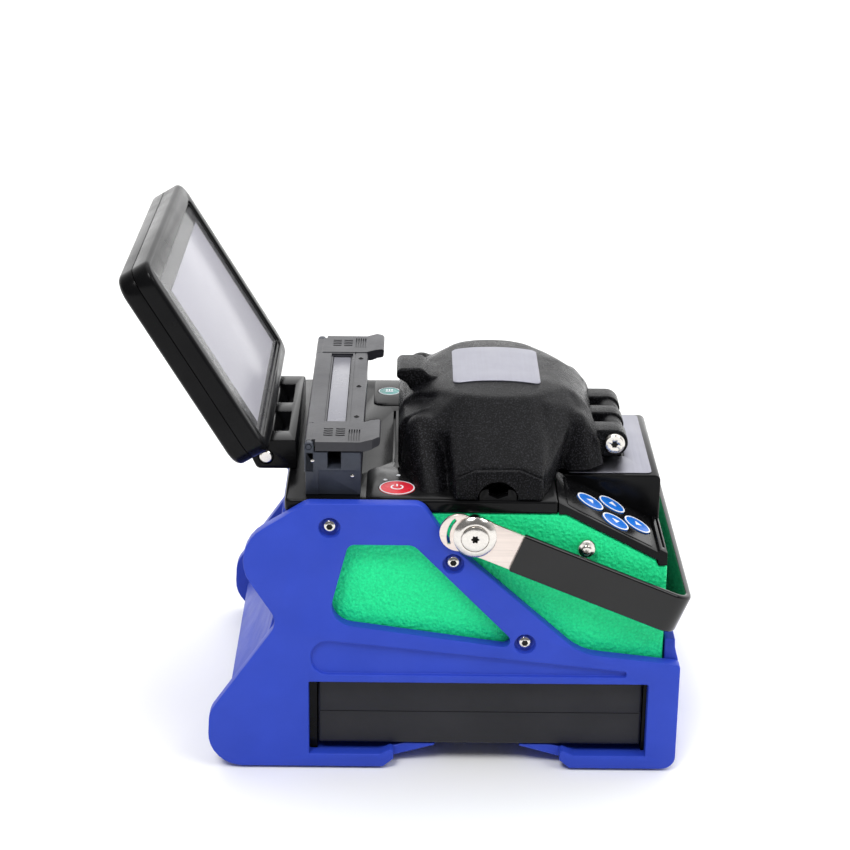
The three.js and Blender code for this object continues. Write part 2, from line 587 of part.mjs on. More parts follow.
function handlePivot() {
  const face = -HANDLE.halfWidth - 2.1;
  const strapOut = -HANDLE.halfWidth + 0.6 - GAP;
  const strapIn = -HANDLE.halfWidth + 2 + GAP;
  const profile = [[0, face], [4.6, face], [4.6, face + 0.5], [6.6, face + 0.5], [7.7, strapOut - 0.6], [7.7, strapOut],
    [2.9, strapOut], [2.9, strapIn], [5, strapIn], [5, -CASE_HALF_WIDTH - 0.2], [0, -CASE_HALF_WIDTH - 0.2]];
  return turnedY(profile, HANDLE_PIVOT.x, HANDLE_PIVOT.z);
}

function strapStud() {
  const foot = -CASE_HALF_WIDTH - 0.2;
  return turnedY([[0, -68.2], [1.6, -68.2], [3, -67.2], [3.4, -66], [3.4, -65.2], [2, -65], [2, foot], [0, foot]], 134.6, 86.7, 20);
}

// ---------------------------------------------------------------- assembly
piece(splicer, "boot_side_near", bootSide(103.7), COLOUR.boot);
piece(splicer, "boot_side_far", mirrored(bootSide(101.2)), COLOUR.boot);
piece(splicer, "boot_rear_wall", bootRearWall(), COLOUR.boot);
piece(splicer, "boot_front_wall", bootFrontWall(), COLOUR.boot);
piece(splicer, "boot_floor", bootFloor(), COLOUR.boot);
[[47, -54], [47, 54], [147, -54], [147, 54]].forEach(([x, y], i) => {
  piece(splicer, "rubber_foot_" + (i + 1), foot(x, y), COLOUR.rubber);
});

pair(splicer, "case_side", caseSide(), COLOUR.green);
piece(splicer, "case_front", caseEnd(CASE_FRONT - CASE_WALL, CASE_FRONT, 78.7), COLOUR.green);
piece(splicer, "case_rear", caseEnd(CASE_REAR, CASE_REAR + CASE_WALL, 98.3), COLOUR.black);
piece(splicer, "battery_bay", batteryBay(), COLOUR.black);
piece(splicer, "battery_terminals", batteryTerminals(), COLOUR.brass, "metal");
piece(splicer, "battery_pack", batteryPack(), COLOUR.black);
piece(splicer, "main_board", box(40, 150, -50, 50, 45, 46.6), COLOUR.pcb);

piece(splicer, "deck_plate", deckPlate(), COLOUR.grey);
piece(splicer, "keypad_wing_near", keypadWing(true), COLOUR.black);
piece(splicer, "keypad_wing_far", mirrored(keypadWing(false)), COLOUR.black);
piece(splicer, "front_box", frontBox(), COLOUR.black);
piece(splicer, "front_label_plate", frontLabel(), COLOUR.silver, "metal");
piece(splicer, "power_button", rodZ(POWER.x, POWER.y, POWER.radius, 99.4, DECK_TOP + 0.5), COLOUR.red, "gloss");
piece(splicer, "heat_button", rodZ(HEAT.x, HEAT.y, HEAT.radius, 99.4, DECK_TOP + 0.4), COLOUR.teal, "gloss");
Object.entries(KEY_SPOTS).forEach(([name, [x, y]]) => {
  piece(splicer, "arrow_key_" + name, wingPost(x, y, KEY_RADIUS, -2.2, KEY_TRAVEL + 0.3), COLOUR.blue, "gloss");
});

piece(splicer, "monitor_bracket", monitorBracket(), COLOUR.black);
piece(splicer, "monitor_hinge_pin", monitorPin(), COLOUR.nickel, "metal");
const monitor = new THREE.Group();
monitor.position.set(MONITOR_PIN.x, 0, MONITOR_PIN.z);
monitor.rotation.y = THREE.MathUtils.degToRad(-MONITOR_LEAN);
splicer.add(monitor);
piece(monitor, "monitor_back", monitorBack(), COLOUR.black);
piece(monitor, "monitor_bezel", monitorBezel(), COLOUR.black);
piece(monitor, "lcd_panel", lcdPanel(), COLOUR.screen);
piece(monitor, "screen_glass", screenGlass(), COLOUR.screen, "gloss");

piece(splicer, "heater_base", heaterBase(), COLOUR.grey);
piece(splicer, "heater_trough", heaterTrough(), COLOUR.silver, "metal");
piece(splicer, "heater_hinge_pin", heaterPin(), COLOUR.nickel, "metal");
piece(splicer, "heater_lid", heaterLid(), COLOUR.grey);
piece(splicer, "heater_lid_window", heaterWindow(), COLOUR.silver);
pair(splicer, "heater_clamp", heaterClamp(), COLOUR.grey);

piece(splicer, "splice_chassis", spliceChassis(), COLOUR.silver, "metal");
piece(splicer, "v_groove_block", grooveBlock(), COLOUR.ceramic);
piece(splicer, "electrode_rear", electrode(-1), COLOUR.brass, "metal");
piece(splicer, "electrode_front", electrode(1), COLOUR.brass, "metal");
pair(splicer, "fiber_holder", fibreHolder(), COLOUR.silver, "metal");
pair(splicer, "fiber_clamp_lid", fibreClamp(), COLOUR.black);

piece(splicer, "wind_hood", hood(), COLOUR.black);
piece(splicer, "hood_label_plate", hoodLabel(), COLOUR.silver);
piece(splicer, "hood_bracket", hoodBracket(), COLOUR.black);
piece(splicer, "hood_hinge_pin", hoodPin(), COLOUR.nickel, "metal");

const handle = new THREE.Group();
handle.position.set(HANDLE_PIVOT.x, 0, HANDLE_PIVOT.z);
handle.rotation.y = THREE.MathUtils.degToRad(HANDLE_TILT);
splicer.add(handle);
piece(handle, "handle_strap", handleStrap(), COLOUR.nickel, "metal");
piece(handle, "handle_sleeve", handleSleeve(), COLOUR.rubber, "gloss");
pair(splicer, "handle_pivot", handlePivot(), COLOUR.nickel, "metal");
pair(splicer, "strap_stud", strapStud(), COLOUR.nickel, "metal");

splicer.position.set(-MIDDLE_X, 0, FOOT_DROP);

export default splicer;
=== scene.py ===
"""A fiber fusion splicer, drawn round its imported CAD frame.

Drawing coordinates are millimetres with x = 0 at the rear end of the boot, y = 0 on the middle plane (the
near side is -y) and z = 0 at the underside of the boot. at() and place() turn them into the frame's metres.
"""
import json
import math

import bmesh
import bpy
from mathutils import Matrix, Vector
from mathutils.bvhtree import BVHTree

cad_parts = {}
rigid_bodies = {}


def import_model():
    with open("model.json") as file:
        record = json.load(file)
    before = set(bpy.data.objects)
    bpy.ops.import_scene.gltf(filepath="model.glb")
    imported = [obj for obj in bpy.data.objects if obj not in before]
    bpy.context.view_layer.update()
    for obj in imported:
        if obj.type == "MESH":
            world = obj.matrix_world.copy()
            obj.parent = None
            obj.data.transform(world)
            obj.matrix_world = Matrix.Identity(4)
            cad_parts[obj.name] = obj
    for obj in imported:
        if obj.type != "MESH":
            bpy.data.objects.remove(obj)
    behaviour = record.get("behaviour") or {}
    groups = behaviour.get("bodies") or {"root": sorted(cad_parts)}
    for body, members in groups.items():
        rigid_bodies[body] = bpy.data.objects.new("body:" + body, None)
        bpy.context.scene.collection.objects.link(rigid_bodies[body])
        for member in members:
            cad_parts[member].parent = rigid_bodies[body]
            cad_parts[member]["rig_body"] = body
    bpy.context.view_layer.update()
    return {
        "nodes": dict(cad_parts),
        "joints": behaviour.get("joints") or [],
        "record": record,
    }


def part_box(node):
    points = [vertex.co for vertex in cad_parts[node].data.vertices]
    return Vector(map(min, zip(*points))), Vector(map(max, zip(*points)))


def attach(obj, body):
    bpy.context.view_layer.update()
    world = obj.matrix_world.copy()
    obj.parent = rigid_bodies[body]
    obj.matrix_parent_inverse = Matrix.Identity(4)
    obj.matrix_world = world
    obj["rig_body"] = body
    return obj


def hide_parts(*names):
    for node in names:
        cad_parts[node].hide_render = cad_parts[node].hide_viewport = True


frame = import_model()
MM = 0.001

# The frame's joints say where the drawing's origin is: the handle turns about (95, 93.3).
JOINTS = {j["name"]: j for j in frame["joints"]}
HANDLE_PIVOT = (95.0, 93.3)
_pivot = JOINTS["handle_swing"]["pos_m"]
ORIGIN = Vector((_pivot[0] - HANDLE_PIVOT[0] * MM, 0, _pivot[2] - HANDLE_PIVOT[1] * MM))


def at(x, y, z):
    """A drawing point, in the frame's metres."""
    return Vector((x * MM, y * MM, z * MM)) + ORIGIN


# ---- materials
def principled(name, color, rough=0.5, metal=0.0, spec=0.5):
    material = bpy.data.materials.new(name)
    material.use_nodes = True
    shader = material.node_tree.nodes["Principled BSDF"]
    shader.inputs["Base Color"].default_value = (*color, 1)
    shader.inputs["Roughness"].default_value = rough
    shader.inputs["Metallic"].default_value = metal
    shader.inputs["Specular IOR Level"].default_value = spec
    material.diffuse_color = (*color, 1)
    return material


class Graph:
    """Short calls for the nodes of one material."""

    def __init__(self, material):
        self.tree = material.node_tree
        self.shader = self.tree.nodes["Principled BSDF"]
        self.place = self.tree.nodes.new("ShaderNodeTexCoord").outputs["Object"]

    def node(self, kind, **values):
        """A new node; each value goes to the property or, with _ for a space, the socket of that name."""
        made = self.tree.nodes.new(kind)
        for key, value in values.items():
            if hasattr(made, key) and key not in made.inputs:
                setattr(made, key, value)
            else:
                made.inputs[key.replace("_", " ")].default_value = value
        return made

    def link(self, source, target):
        self.tree.links.new(source, target)

    def stretched(self, scale):
        mapping = self.node("ShaderNodeMapping", Scale=scale)
        self.link(self.place, mapping.inputs["Vector"])
        return mapping.outputs["Vector"]

    def noise(self, scale, detail=3.0, rough=0.55, stretch=None):
        made = self.node("ShaderNodeTexNoise", Scale=scale, Detail=detail, Roughness=rough)
        self.link(self.stretched(stretch) if stretch else self.place, made.inputs["Vector"])
        return made.outputs["Fac"]

    def cells(self, scale, smooth):
        made = self.node("ShaderNodeTexVoronoi", feature="SMOOTH_F1", Scale=scale, Smoothness=smooth)
        self.link(self.place, made.inputs["Vector"])
        return made.outputs["Distance"]

    def spread(self, value, low, high, from_low=0.3, from_high=0.7):
        made = self.node("ShaderNodeMapRange", From_Min=from_low, From_Max=from_high, To_Min=low, To_Max=high)
        self.link(value, made.inputs["Value"])
        return made.outputs["Result"]

    def maths(self, operation, a, b):
        made = self.node("ShaderNodeMath", operation=operation)
        for socket, value in zip(made.inputs, (a, b)):
            if isinstance(value, (int, float)):
                socket.default_value = value
            else:
                self.link(value, socket)
        return made.outputs["Value"]

    def blend(self, factor, a, b):
        made = self.node("ShaderNodeMix", data_type="RGBA")
        self.link(factor, made.inputs["Factor"])
        made.inputs["A"].default_value = (*a, 1)
        if isinstance(b, tuple):
            made.inputs["B"].default_value = (*b, 1)
        else:
            self.link(b, made.inputs["B"])
        return made.outputs["Result"]

    def color(self, source):
        self.link(source, self.shader.inputs["Base Color"])

    def rough(self, source):
        self.link(source, self.shader.inputs["Roughness"])

    def bump(self, height, depth, strength=1.0):
        made = self.node("ShaderNodeBump", Strength=strength, Distance=depth)
        self.link(height, made.inputs["Height"])
        self.link(made.outputs["Normal"], self.shader.inputs["Normal"])


def moulded(name, color, rough, grain, depth=0.00001, tint=0.3, spec=0.5):
    """Moulded plastic or rubber: a fine tool grain, faint colour drift and patchy gloss."""
    material = principled(name, color, rough, spec=spec)
    graph = Graph(material)
    lighter = tuple(min(1, c * (1 + tint) + 0.002) for c in color)
    darker = tuple(c * (1 - tint) for c in color)
    graph.color(graph.blend(graph.spread(graph.noise(45, 4), 0, 1), darker, lighter))
    graph.rough(graph.spread(graph.noise(70, 5), max(0, rough - 0.07), rough + 0.07))
    graph.bump(graph.noise(grain, 4, 0.6), depth)
    return material


def leather_grain(name, color):
    """Moulded leather grain: broad pebbles with fine creases between them, darkened there by painted shade.
    """
    material = principled(name, color, 0.5, spec=0.3)
    graph = Graph(material)
    pebbles = graph.cells(760, 0.3)
    fine = graph.noise(1500, 4, 0.65)
    height = graph.maths("ADD", graph.maths("MULTIPLY", pebbles, 0.8), graph.maths("MULTIPLY", fine, 0.55))
    drift = graph.maths("MULTIPLY", graph.noise(60, 3), 0.25)
    # Painted shade: the colour follows the fine grain that also sets the bump, so it darkens in the creases;
    # the drift adds random tone.
    crease_shade_and_drift = graph.spread(graph.maths("ADD", drift, fine), 0, 1, 0.35, 0.95)
    dark = tuple(c * 0.72 for c in color)
    light = tuple(min(1, c * 1.12 + 0.01) for c in color)
    graph.color(graph.blend(crease_shade_and_drift, dark, light))
    graph.rough(graph.spread(pebbles, 0.42, 0.62, 0.0, 0.7))
    graph.bump(height, 0.0005, 1.0)
    return material


def lacquered(name, color, rough=0.27):
    """Painted cast metal: orange-peel lacquer, with small bright specks painted into its colour as painted
    glints.
    """
    material = principled(name, color, rough, spec=0.07)
    graph = Graph(material)
    peel = graph.noise(2300, 3, 0.6)
    coarse = graph.cells(2400, 0.2)
    height = graph.maths("ADD", peel, graph.maths("MULTIPLY", coarse, 0.7))
    # Painted glints: small specks of the colour, lifted up to sevenfold, stand in for sparkles of light.
    painted_glint = tuple(c * 7 for c in color)
    graph.color(graph.blend(graph.spread(graph.noise(1900, 2), -1.6, 1.4), color, painted_glint))
    graph.rough(graph.spread(graph.noise(160, 4), rough - 0.05, rough + 0.1))
    graph.bump(height, 0.00012, 1.0)
    return material


def brushed(name, color, rough=0.28, along="x"):
    """Brushed or plated metal: long fine scratches, patchy polish."""
    stretch = {"x": (30, 900, 900), "y": (900, 30, 900), "z": (900, 900, 30)}[along]
    material = principled(name, color, rough, metal=1.0)
    graph = Graph(material)
    lines = graph.noise(1.0, 6, 0.7, stretch)
    darker = tuple(c * 0.86 for c in color)
    lighter = tuple(min(1, c * 1.06) for c in color)
    graph.color(graph.blend(graph.spread(lines, 0, 1), darker, lighter))
    scratches = graph.maths("MULTIPLY", lines, 0.6)
    patches = graph.maths("MULTIPLY", graph.noise(120, 3), 0.4)
    graph.rough(graph.spread(graph.maths("ADD", scratches, patches), rough - 0.08, rough + 0.12))
    graph.bump(lines, 0.00001, 0.6)
    return material


BLUE = moulded("boot_blue", (0.021, 0.056, 0.47), 0.47, grain=700, depth=0.00005, tint=0.06, spec=0.25)
GREEN = leather_grain("case_green", (0.006, 0.88, 0.32))
BLACK = moulded("shell_black", (0.0035, 0.0035, 0.004), 0.22, grain=1100, spec=0.1)
SATIN_BLACK = moulded("deck_black", (0.004, 0.004, 0.0045), 0.2, grain=1400, spec=0.12)
HOOD_PAINT = lacquered("hood_lacquer", (0.003, 0.003, 0.0035), 0.2)
HEATER_GREY = moulded("heater_grey", (0.028, 0.028, 0.034), 0.34, grain=700, depth=0.00004, tint=0.25,
                      spec=0.3)
HEATER_BLUE = moulded("heater_blue_grey", (0.040, 0.046, 0.062), 0.42, grain=800, depth=0.00004, tint=0.4,
                      spec=0.3)
BATTERY_BLACK = moulded("battery_black", (0.016, 0.016, 0.020), 0.42, grain=900, depth=0.00003, tint=0.1,
                        spec=0.25)
SLEEVE_BLACK = moulded("sleeve_black", (0.0025, 0.0025, 0.003), 0.09, grain=260, depth=0.000002, tint=0.2,
                       spec=0.38)
RUBBER = moulded("foot_rubber", (0.012, 0.012, 0.012), 0.75, grain=900, depth=0.00006)
RED = moulded("button_red", (0.62, 0.012, 0.03), 0.3, grain=600, tint=0.05, spec=0.2)
TEAL = moulded("button_teal", (0.06, 0.30, 0.28), 0.3, grain=600, tint=0.05)
KEY_BLUE = moulded("key_blue", (0.008, 0.14, 0.56), 0.3, grain=600, tint=0.05, spec=0.2)
KEY_WHITE = moulded("key_white", (0.78, 0.80, 0.84), 0.35, grain=600, tint=0.02)
PLATE = brushed("plate_silver", (0.32, 0.32, 0.37), 0.38, "y")
NICKEL = brushed("nickel", (0.74, 0.65, 0.60), 0.30, "x")
BRIGHT = brushed("screw_nickel", (0.72, 0.69, 0.65), 0.16, "y")
MACHINED = brushed("machined_aluminium", (0.50, 0.50, 0.52), 0.32, "y")
PANE = moulded("heater_pane", (0.24, 0.24, 0.27), 0.25, grain=300, tint=0.04, spec=0.25)
# Dark plugs set on the floors of driver sockets: painted shade in the recesses.
SOCKET_SHADE = moulded("socket_painted_shade", (0.012, 0.011, 0.010), 0.5, grain=900, spec=0.2)
PCB = moulded("board_green", (0.01, 0.10, 0.04), 0.4, grain=500, depth=0.00004)
BRASS = brushed("contact_brass", (0.68, 0.50, 0.24), 0.25, "z")
TUNGSTEN = brushed("tungsten", (0.34, 0.33, 0.32), 0.35, "x")
CERAMIC = moulded("ceramic", (0.72, 0.69, 0.62), 0.4, grain=500, depth=0.00003, tint=0.06)


def screen_material():
    """A lit panel: soft grey light with faint unevenness, under a smooth face."""
    material = principled("screen_lit", (0.27, 0.265, 0.30), 0.2, spec=0.1)
    graph = Graph(material)
    graph.color(graph.blend(graph.spread(graph.noise(8, 2), 0, 1), (0.26, 0.255, 0.29), (0.285, 0.28, 0.315)))
    graph.shader.inputs["Emission Color"].default_value = (0.68, 0.67, 0.77, 1)
    graph.shader.inputs["Emission Strength"].default_value = 0.2
    return material


def glass_material():
    """Thin clear glass: nearly all of it is seen through."""
    material = principled("cover_glass", (0.9, 0.9, 0.93), 0.04, spec=0.5)
    graph = Graph(material)
    graph.shader.inputs["Alpha"].default_value = 0.06
    graph.rough(graph.spread(graph.noise(50, 3), 0.02, 0.06))
    return material


BORDER = moulded("screen_border_black", (0.006, 0.006, 0.007), 0.16, grain=60, depth=0, tint=0.2, spec=0.22)
SCREEN = screen_material()
GLASS = glass_material()


def dress(node, material):
    """A CAD node whose shape is right keeps its mesh and takes a finished material."""
    mesh = frame["nodes"][node].data
    mesh.materials.clear()
    mesh.materials.append(material)


def add_object(name, data):
    """A new object in the scene."""
    made = bpy.data.objects.new(name, data)
    bpy.context.scene.collection.objects.link(made)
    return made


def merge_flat(mesh, distance, angle):
    """Joins points within the distance, and faces that are flat to within the angle."""
    work = bmesh.new()
    work.from_mesh(mesh)
    bmesh.ops.remove_doubles(work, verts=work.verts, dist=distance)
    bmesh.ops.dissolve_limit(work, angle_limit=math.radians(angle), verts=work.verts, edges=work.edges)
    work.to_mesh(mesh)
    work.free()


def add_bevel(thing, width, segments, angle):
    bevel = thing.modifiers.new("round", "BEVEL")
    bevel.width = width
    bevel.segments = segments
    bevel.limit_method = "ANGLE"
    bevel.angle_limit = math.radians(angle)
    return bevel


def shade_smooth(mesh, crease):
    """Smooth shading that breaks at edges sharper than the crease angle."""
    for face in mesh.polygons:
        face.use_smooth = True
    mesh.set_sharp_from_angle(angle=math.radians(crease))


def rounded_copy(node, width):
    """A CAD node with its sharp edges rounded off, as a new piece that stands for it."""
    source = frame["nodes"][node]
    mesh = source.data.copy()
    mesh.name = node + "_mesh"
    merge_flat(mesh, 1e-6, 1)
    mesh.materials.clear()
    mesh.materials.append(FINISH[SLOTS[node]])
    piece = add_object(node + "_shell", mesh)
    add_bevel(piece, width * MM, 2, 30)
    shade_smooth(mesh, 40)
    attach(piece, source["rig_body"])
    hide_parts(node)


SLOTS = {row["node"]: row["material_slot"] for row in frame["record"]["subparts"]}

FINISH = {
    "boot_blue": BLUE, "case_green": GREEN, "black_shell": BLACK, "hood_black": HOOD_PAINT,
    "heater_grey": HEATER_GREY, "silver_plate": PLATE, "window_clear": PANE, "nickel": NICKEL,
    "machined": MACHINED, "rubber_black": RUBBER, "sleeve_black": SLEEVE_BLACK, "red_button": RED,
    "teal_button": TEAL, "blue_key": KEY_BLUE, "screen_lit": SCREEN, "cover_glass": GLASS, "circuit": PCB,
    "contact": BRASS, "tungsten": TUNGSTEN, "ceramic": CERAMIC,
}
for node, slot in SLOTS.items():
    dress(node, FINISH[slot])


# ---- modelling kit
# Everything is modelled in drawing millimetres on scratch objects; place() turns the result into a piece.
PLANES = {"xz": lambda u, v, w: (u, w, v), "xy": lambda u, v, w: (u, v, w), "yz": lambda u, v, w: (w, u, v)}


def scratch(work):
    """A scratch object from a bmesh, with its faces turned outwards."""
    bmesh.ops.remove_doubles(work, verts=work.verts, dist=1e-4)
    bmesh.ops.recalc_face_normals(work, faces=work.faces)
    mesh = bpy.data.meshes.new("scratch")
    work.to_mesh(mesh)
    work.free()
    return add_object("scratch", mesh)


def bake(thing):
    """Applies an object's modifiers."""
    graph = bpy.context.evaluated_depsgraph_get()
    mesh = bpy.data.meshes.new_from_object(thing.evaluated_get(graph))
    old = thing.data
    thing.modifiers.clear()
    thing.data = mesh
    bpy.data.meshes.remove(old)
    return thing


def rounded(corners, steps=6):
    """An outline from corners (u, v, radius); a corner with no radius stays sharp."""
    points = []
    count = len(corners)
    for i, corner in enumerate(corners):
        here = Vector(corner[:2])
        radius = corner[2] if len(corner) > 2 else 0
        if not radius:
            points.append(tuple(here))
            continue
        before = (Vector(corners[i - 1][:2]) - here).normalized()
        after = (Vector(corners[(i + 1) % count][:2]) - here).normalized()
        half = before.angle(after) / 2
        middle = here + (before + after).normalized() * (radius / math.sin(half))
        start = here + before * (radius / math.tan(half)) - middle
        end = here + after * (radius / math.tan(half)) - middle
        turn = math.atan2(start.x * end.y - start.y * end.x, start.dot(end))
        for k in range(steps + 1):
            points.append(tuple(middle + Matrix.Rotation(turn * k / steps, 2) @ start))
    return points


def arc(u, v, radius, start, end, steps=12):
    angles = [math.radians(start + (end - start) * k / steps) for k in range(steps + 1)]
    return [(u + radius * math.cos(a), v + radius * math.sin(a)) for a in angles]


def prism(points, low, high, plane="xz"):
    """An outline made solid between two heights."""
    lift = PLANES[plane]
    work = bmesh.new()
    bottom = [work.verts.new(lift(u, v, low)) for u, v in points]
    top = [work.verts.new(lift(u, v, high)) for u, v in points]
    work.faces.new(bottom)
    work.faces.new(list(reversed(top)))
    for i, vertex in enumerate(bottom):
        j = (i + 1) % len(bottom)
        work.faces.new((vertex, bottom[j], top[j], top[i]))
    return scratch(work)


def hull(points):
    """The tight skin round a set of points."""
    work = bmesh.new()
    for point in points:
        work.verts.new(point)
    made = bmesh.ops.convex_hull(work, input=work.verts)
    loose = [v for v in made["geom_interior"] + made["geom_unused"] if isinstance(v, bmesh.types.BMVert)]
    bmesh.ops.delete(work, geom=list(set(loose)), context="VERTS")
    return scratch(work)


def rectangle(u0, u1, v0, v1):
    return [(u0, v0), (u1, v0), (u1, v1), (u0, v1)]


def round_rectangle(u0, u1, v0, v1, radius):
    return rounded([(u, v, radius) for u, v in rectangle(u0, u1, v0, v1)], 8)


def polygon(radius, sides=6):
    angles = [2 * math.pi * k / sides for k in range(sides)]
    return [(radius * math.cos(a), radius * math.sin(a)) for a in angles]


def block(x0, x1, y0, y1, z0, z1):
    return prism(rectangle(x0, x1, y0, y1), z0, z1, "xy")


def turned(profile, centre=(0, 0, 0), axis="y", segments=40):
    """A solid of revolution: profile holds (radius, height along the axis) from end to end."""
    work = bmesh.new()
    lift = {"y": lambda a, b, h: (a, h, b), "z": lambda a, b, h: (a, b, h)}[axis]
    rings = []
    for radius, height in profile:
        if radius < 1e-6:
            rings.append([work.verts.new(lift(0, 0, height))])
            continue
        rings.append([work.verts.new(lift(a, b, height)) for a, b in polygon(radius, segments)])
    for lower, upper in zip(rings, rings[1:]):
        for k in range(segments):
            j = (k + 1) % segments
            corners = [level[i % len(level)] for level, i in ((lower, k), (lower, j), (upper, j), (upper, k))]
            unique = list(dict.fromkeys(corners))
            if len(unique) > 2:
                work.faces.new(unique)
    for ring in (rings[0], rings[-1]):
        if len(ring) > 1:
            work.faces.new(ring)
    bmesh.ops.translate(work, verts=work.verts, vec=centre)
    return scratch(work)


def rod(u, v, radius, low, high, axis="y", segments=32):
    """A round bar along an axis; (u, v) is its place across the axis, in x-y-z order."""
    centre = (u, 0, v) if axis == "y" else (u, v, 0)
    return turned([(radius, low), (radius, high)], centre, axis, segments)


def _boolean(target, tools, operation):
    for tool in tools:
        modifier = target.modifiers.new("cut", "BOOLEAN")
        modifier.operation = operation
        modifier.solver = "EXACT"
        modifier.object = tool
        bake(target)
        bpy.data.objects.remove(tool)
    return target


def cut(target, *tools):
    return _boolean(target, tools, "DIFFERENCE")


def fuse(target, *tools):
    return _boolean(target, tools, "UNION")


def soften(thing, width, segments=3, angle=32):
    """Rounds every edge sharper than the angle."""
    merge_flat(thing.data, 2e-3, 0.5)
    add_bevel(thing, width, segments, angle).miter_outer = "MITER_ARC"
    return bake(thing)


def moved(thing, matrix):
    thing.data.transform(matrix)
    return thing


def mirror(thing):
    """A copy on the other side of the middle plane."""
    mesh = thing.data.copy()
    mesh.transform(Matrix.Scale(-1, 4, (0, 1, 0)))
    mesh.flip_normals()
    return add_object("scratch", mesh)


TO_FRAME = Matrix.Translation(ORIGIN) @ Matrix.Scale(MM, 4)
SIDES = ((-1, "near"), (1, "far"))


def pin_frame(pin, degrees):
    """A frame on a pin that lies across the object, turned about it."""
    return Matrix.Translation((pin[0], 0, pin[1])) @ Matrix.Rotation(math.radians(degrees), 4, "Y")


def facing(side):
    """Turns a fitting that is drawn for the near side towards its own side."""
    return Matrix.Identity(4) if side < 0 else Matrix.Rotation(math.pi, 4, "Z")


def place(thing, name, material, body, slot, replaces=(), crease=40):
    """Turns a scratch object into a finished piece of the object."""
    thing.data.transform(TO_FRAME)
    thing.data.materials.clear()
    thing.data.materials.append(material)
    thing.name = name
    thing.data.name = name + "_mesh"
    for face in thing.data.polygons:
        face.material_index = 0
    shade_smooth(thing.data, crease)
    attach(thing, body)
    if replaces:
        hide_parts(*([replaces] if isinstance(replaces, str) else replaces))
    return thing


# ---- small fittings
def star_outline(radius, lobes=6, count=36):
    """A lobed driver socket."""
    points = []
    for k in range(count):
        turn = 2 * math.pi * k / count
        reach = radius * (0.84 + 0.16 * math.cos(lobes * turn))
        points.append((reach * math.cos(turn), reach * math.sin(turn)))
    return points


def button_screw():
    """A button-head screw, its seat on the origin and its head towards -y, with a hexagon socket."""
    radius, height, rim, socket, depth = 2.7, 1.7, 0.35, 1.2, 1.35
    profile = [(0, 0), (radius, 0), (radius, -rim)]
    for k in range(1, 6):
        angle = math.radians(15 * k)
        profile.append((radius * math.cos(angle) * 0.98, -rim - (height - rim) * math.sin(angle)))
    head = turned([*profile, (0, -height)], segments=36)
    return soften(cut(head, prism(polygon(socket), -height - 1, -height + depth)), 0.08, 2, 30)


def flat_screw(radius, height, socket):
    """A low screw head with a chamfered rim and a star socket, seated on the origin, head towards -y."""
    profile = [(0, 0), (radius, 0), (radius, -height * 0.45), (radius - 0.7, -height), (0, -height - 0.08)]
    head = turned(profile, segments=48)
    return soften(cut(head, prism(star_outline(socket), -height - 1, -height * 0.1)), 0.1, 2, 25)


def add_screw(name, spot, body="machine", material=None, side=-1, size=1.0, axis="y"):
    screw = button_screw()
    turn = facing(side) if axis == "y" else Matrix.Rotation(-math.pi / 2, 4, "X")
    seat = Matrix.Translation(spot) @ turn @ Matrix.Scale(size, 4)
    moved(screw, seat)
    # A dark plug on the floor of the socket: painted shade in the recess.
    floor = prism(polygon(1.15), -0.75, -0.34)
    place(moved(floor, seat), name + "_socket", SOCKET_SHADE, body, "nickel")
    place(screw, name, material or BRIGHT, body, "nickel", crease=35)


# ---- protective boot
BOOT_SCREWS = [(44, 94.6), (87.7, 81.2), (113.8, 50.1)]
BOOT_FACE = -68.5
BOOT_BACK = -63.5
BOOT_FAR_TOP = 101.2
SINK = 2.6


def boot_sides():
    outline = rounded([
        (35.9, 103.7, 6), (7.7, 85.9, 15), (25.6, 57.7, 7), (0.2, 21.5, 10), (-1, 0, 12.5),
        (63.2, 0, 1), (67, 3.2, 0.4), (67, 6.4, 0.4), (65.9, 7, 0.4), (62, 5.1, 1), (36.3, 5.1, 0.5),
        (36.3, 34.3, 0.5), (158.8, 34.3, 0.5), (158.8, 5.1, 0.5), (132.8, 5.1, 1), (128.7, 7, 0.4),
        (127.6, 6.4, 0.4), (127.6, 3.2, 0.4), (131.4, 0, 1), (169.9, 0, 5), (169.9, 42.2, 1.5),
        (133.9, 46.4, 20), (87, 88.3, 8), (76.7, 103.7, 6),
    ], 8)
    window = rounded([(50.6, 88.2, 3), (42.8, 57.8, 8), (112.8, 47.9, 2.5), (73.6, 88.2, 5)], 8)
    groove = rounded([(37.2, 51.3, 6.2), (37.2, 37.4, 6.2), (150.6, 37.1, 1), (150.6, 39.4, 1)], 8)
    side = prism(outline, BOOT_FACE, BOOT_BACK)
    tools = [prism(window, BOOT_FACE - 1, BOOT_BACK + 1), prism(groove, BOOT_FACE - 1, BOOT_FACE + 1.5)]
    tools += [rod(x, z, 3.8, BOOT_FACE - 1, BOOT_FACE + SINK) for x, z in BOOT_SCREWS]
    side = soften(cut(side, *tools), 0.75, 3)
    far = soften(cut(mirror(side), block(-20, 200, 50, 90, BOOT_FAR_TOP, 120)), 0.3, 2)
    place(side, "boot_side_near_shell", BLUE, "machine", "boot_blue", "boot_side_near")
    place(far, "boot_side_far_shell", BLUE, "machine", "boot_blue", "boot_side_far")
    for k, (x, z) in enumerate(BOOT_SCREWS):
        for side, name in SIDES:
            add_screw(f"boot_screw_{name}_{k + 1}", (x, -side * (BOOT_FACE + SINK), z), side=side)


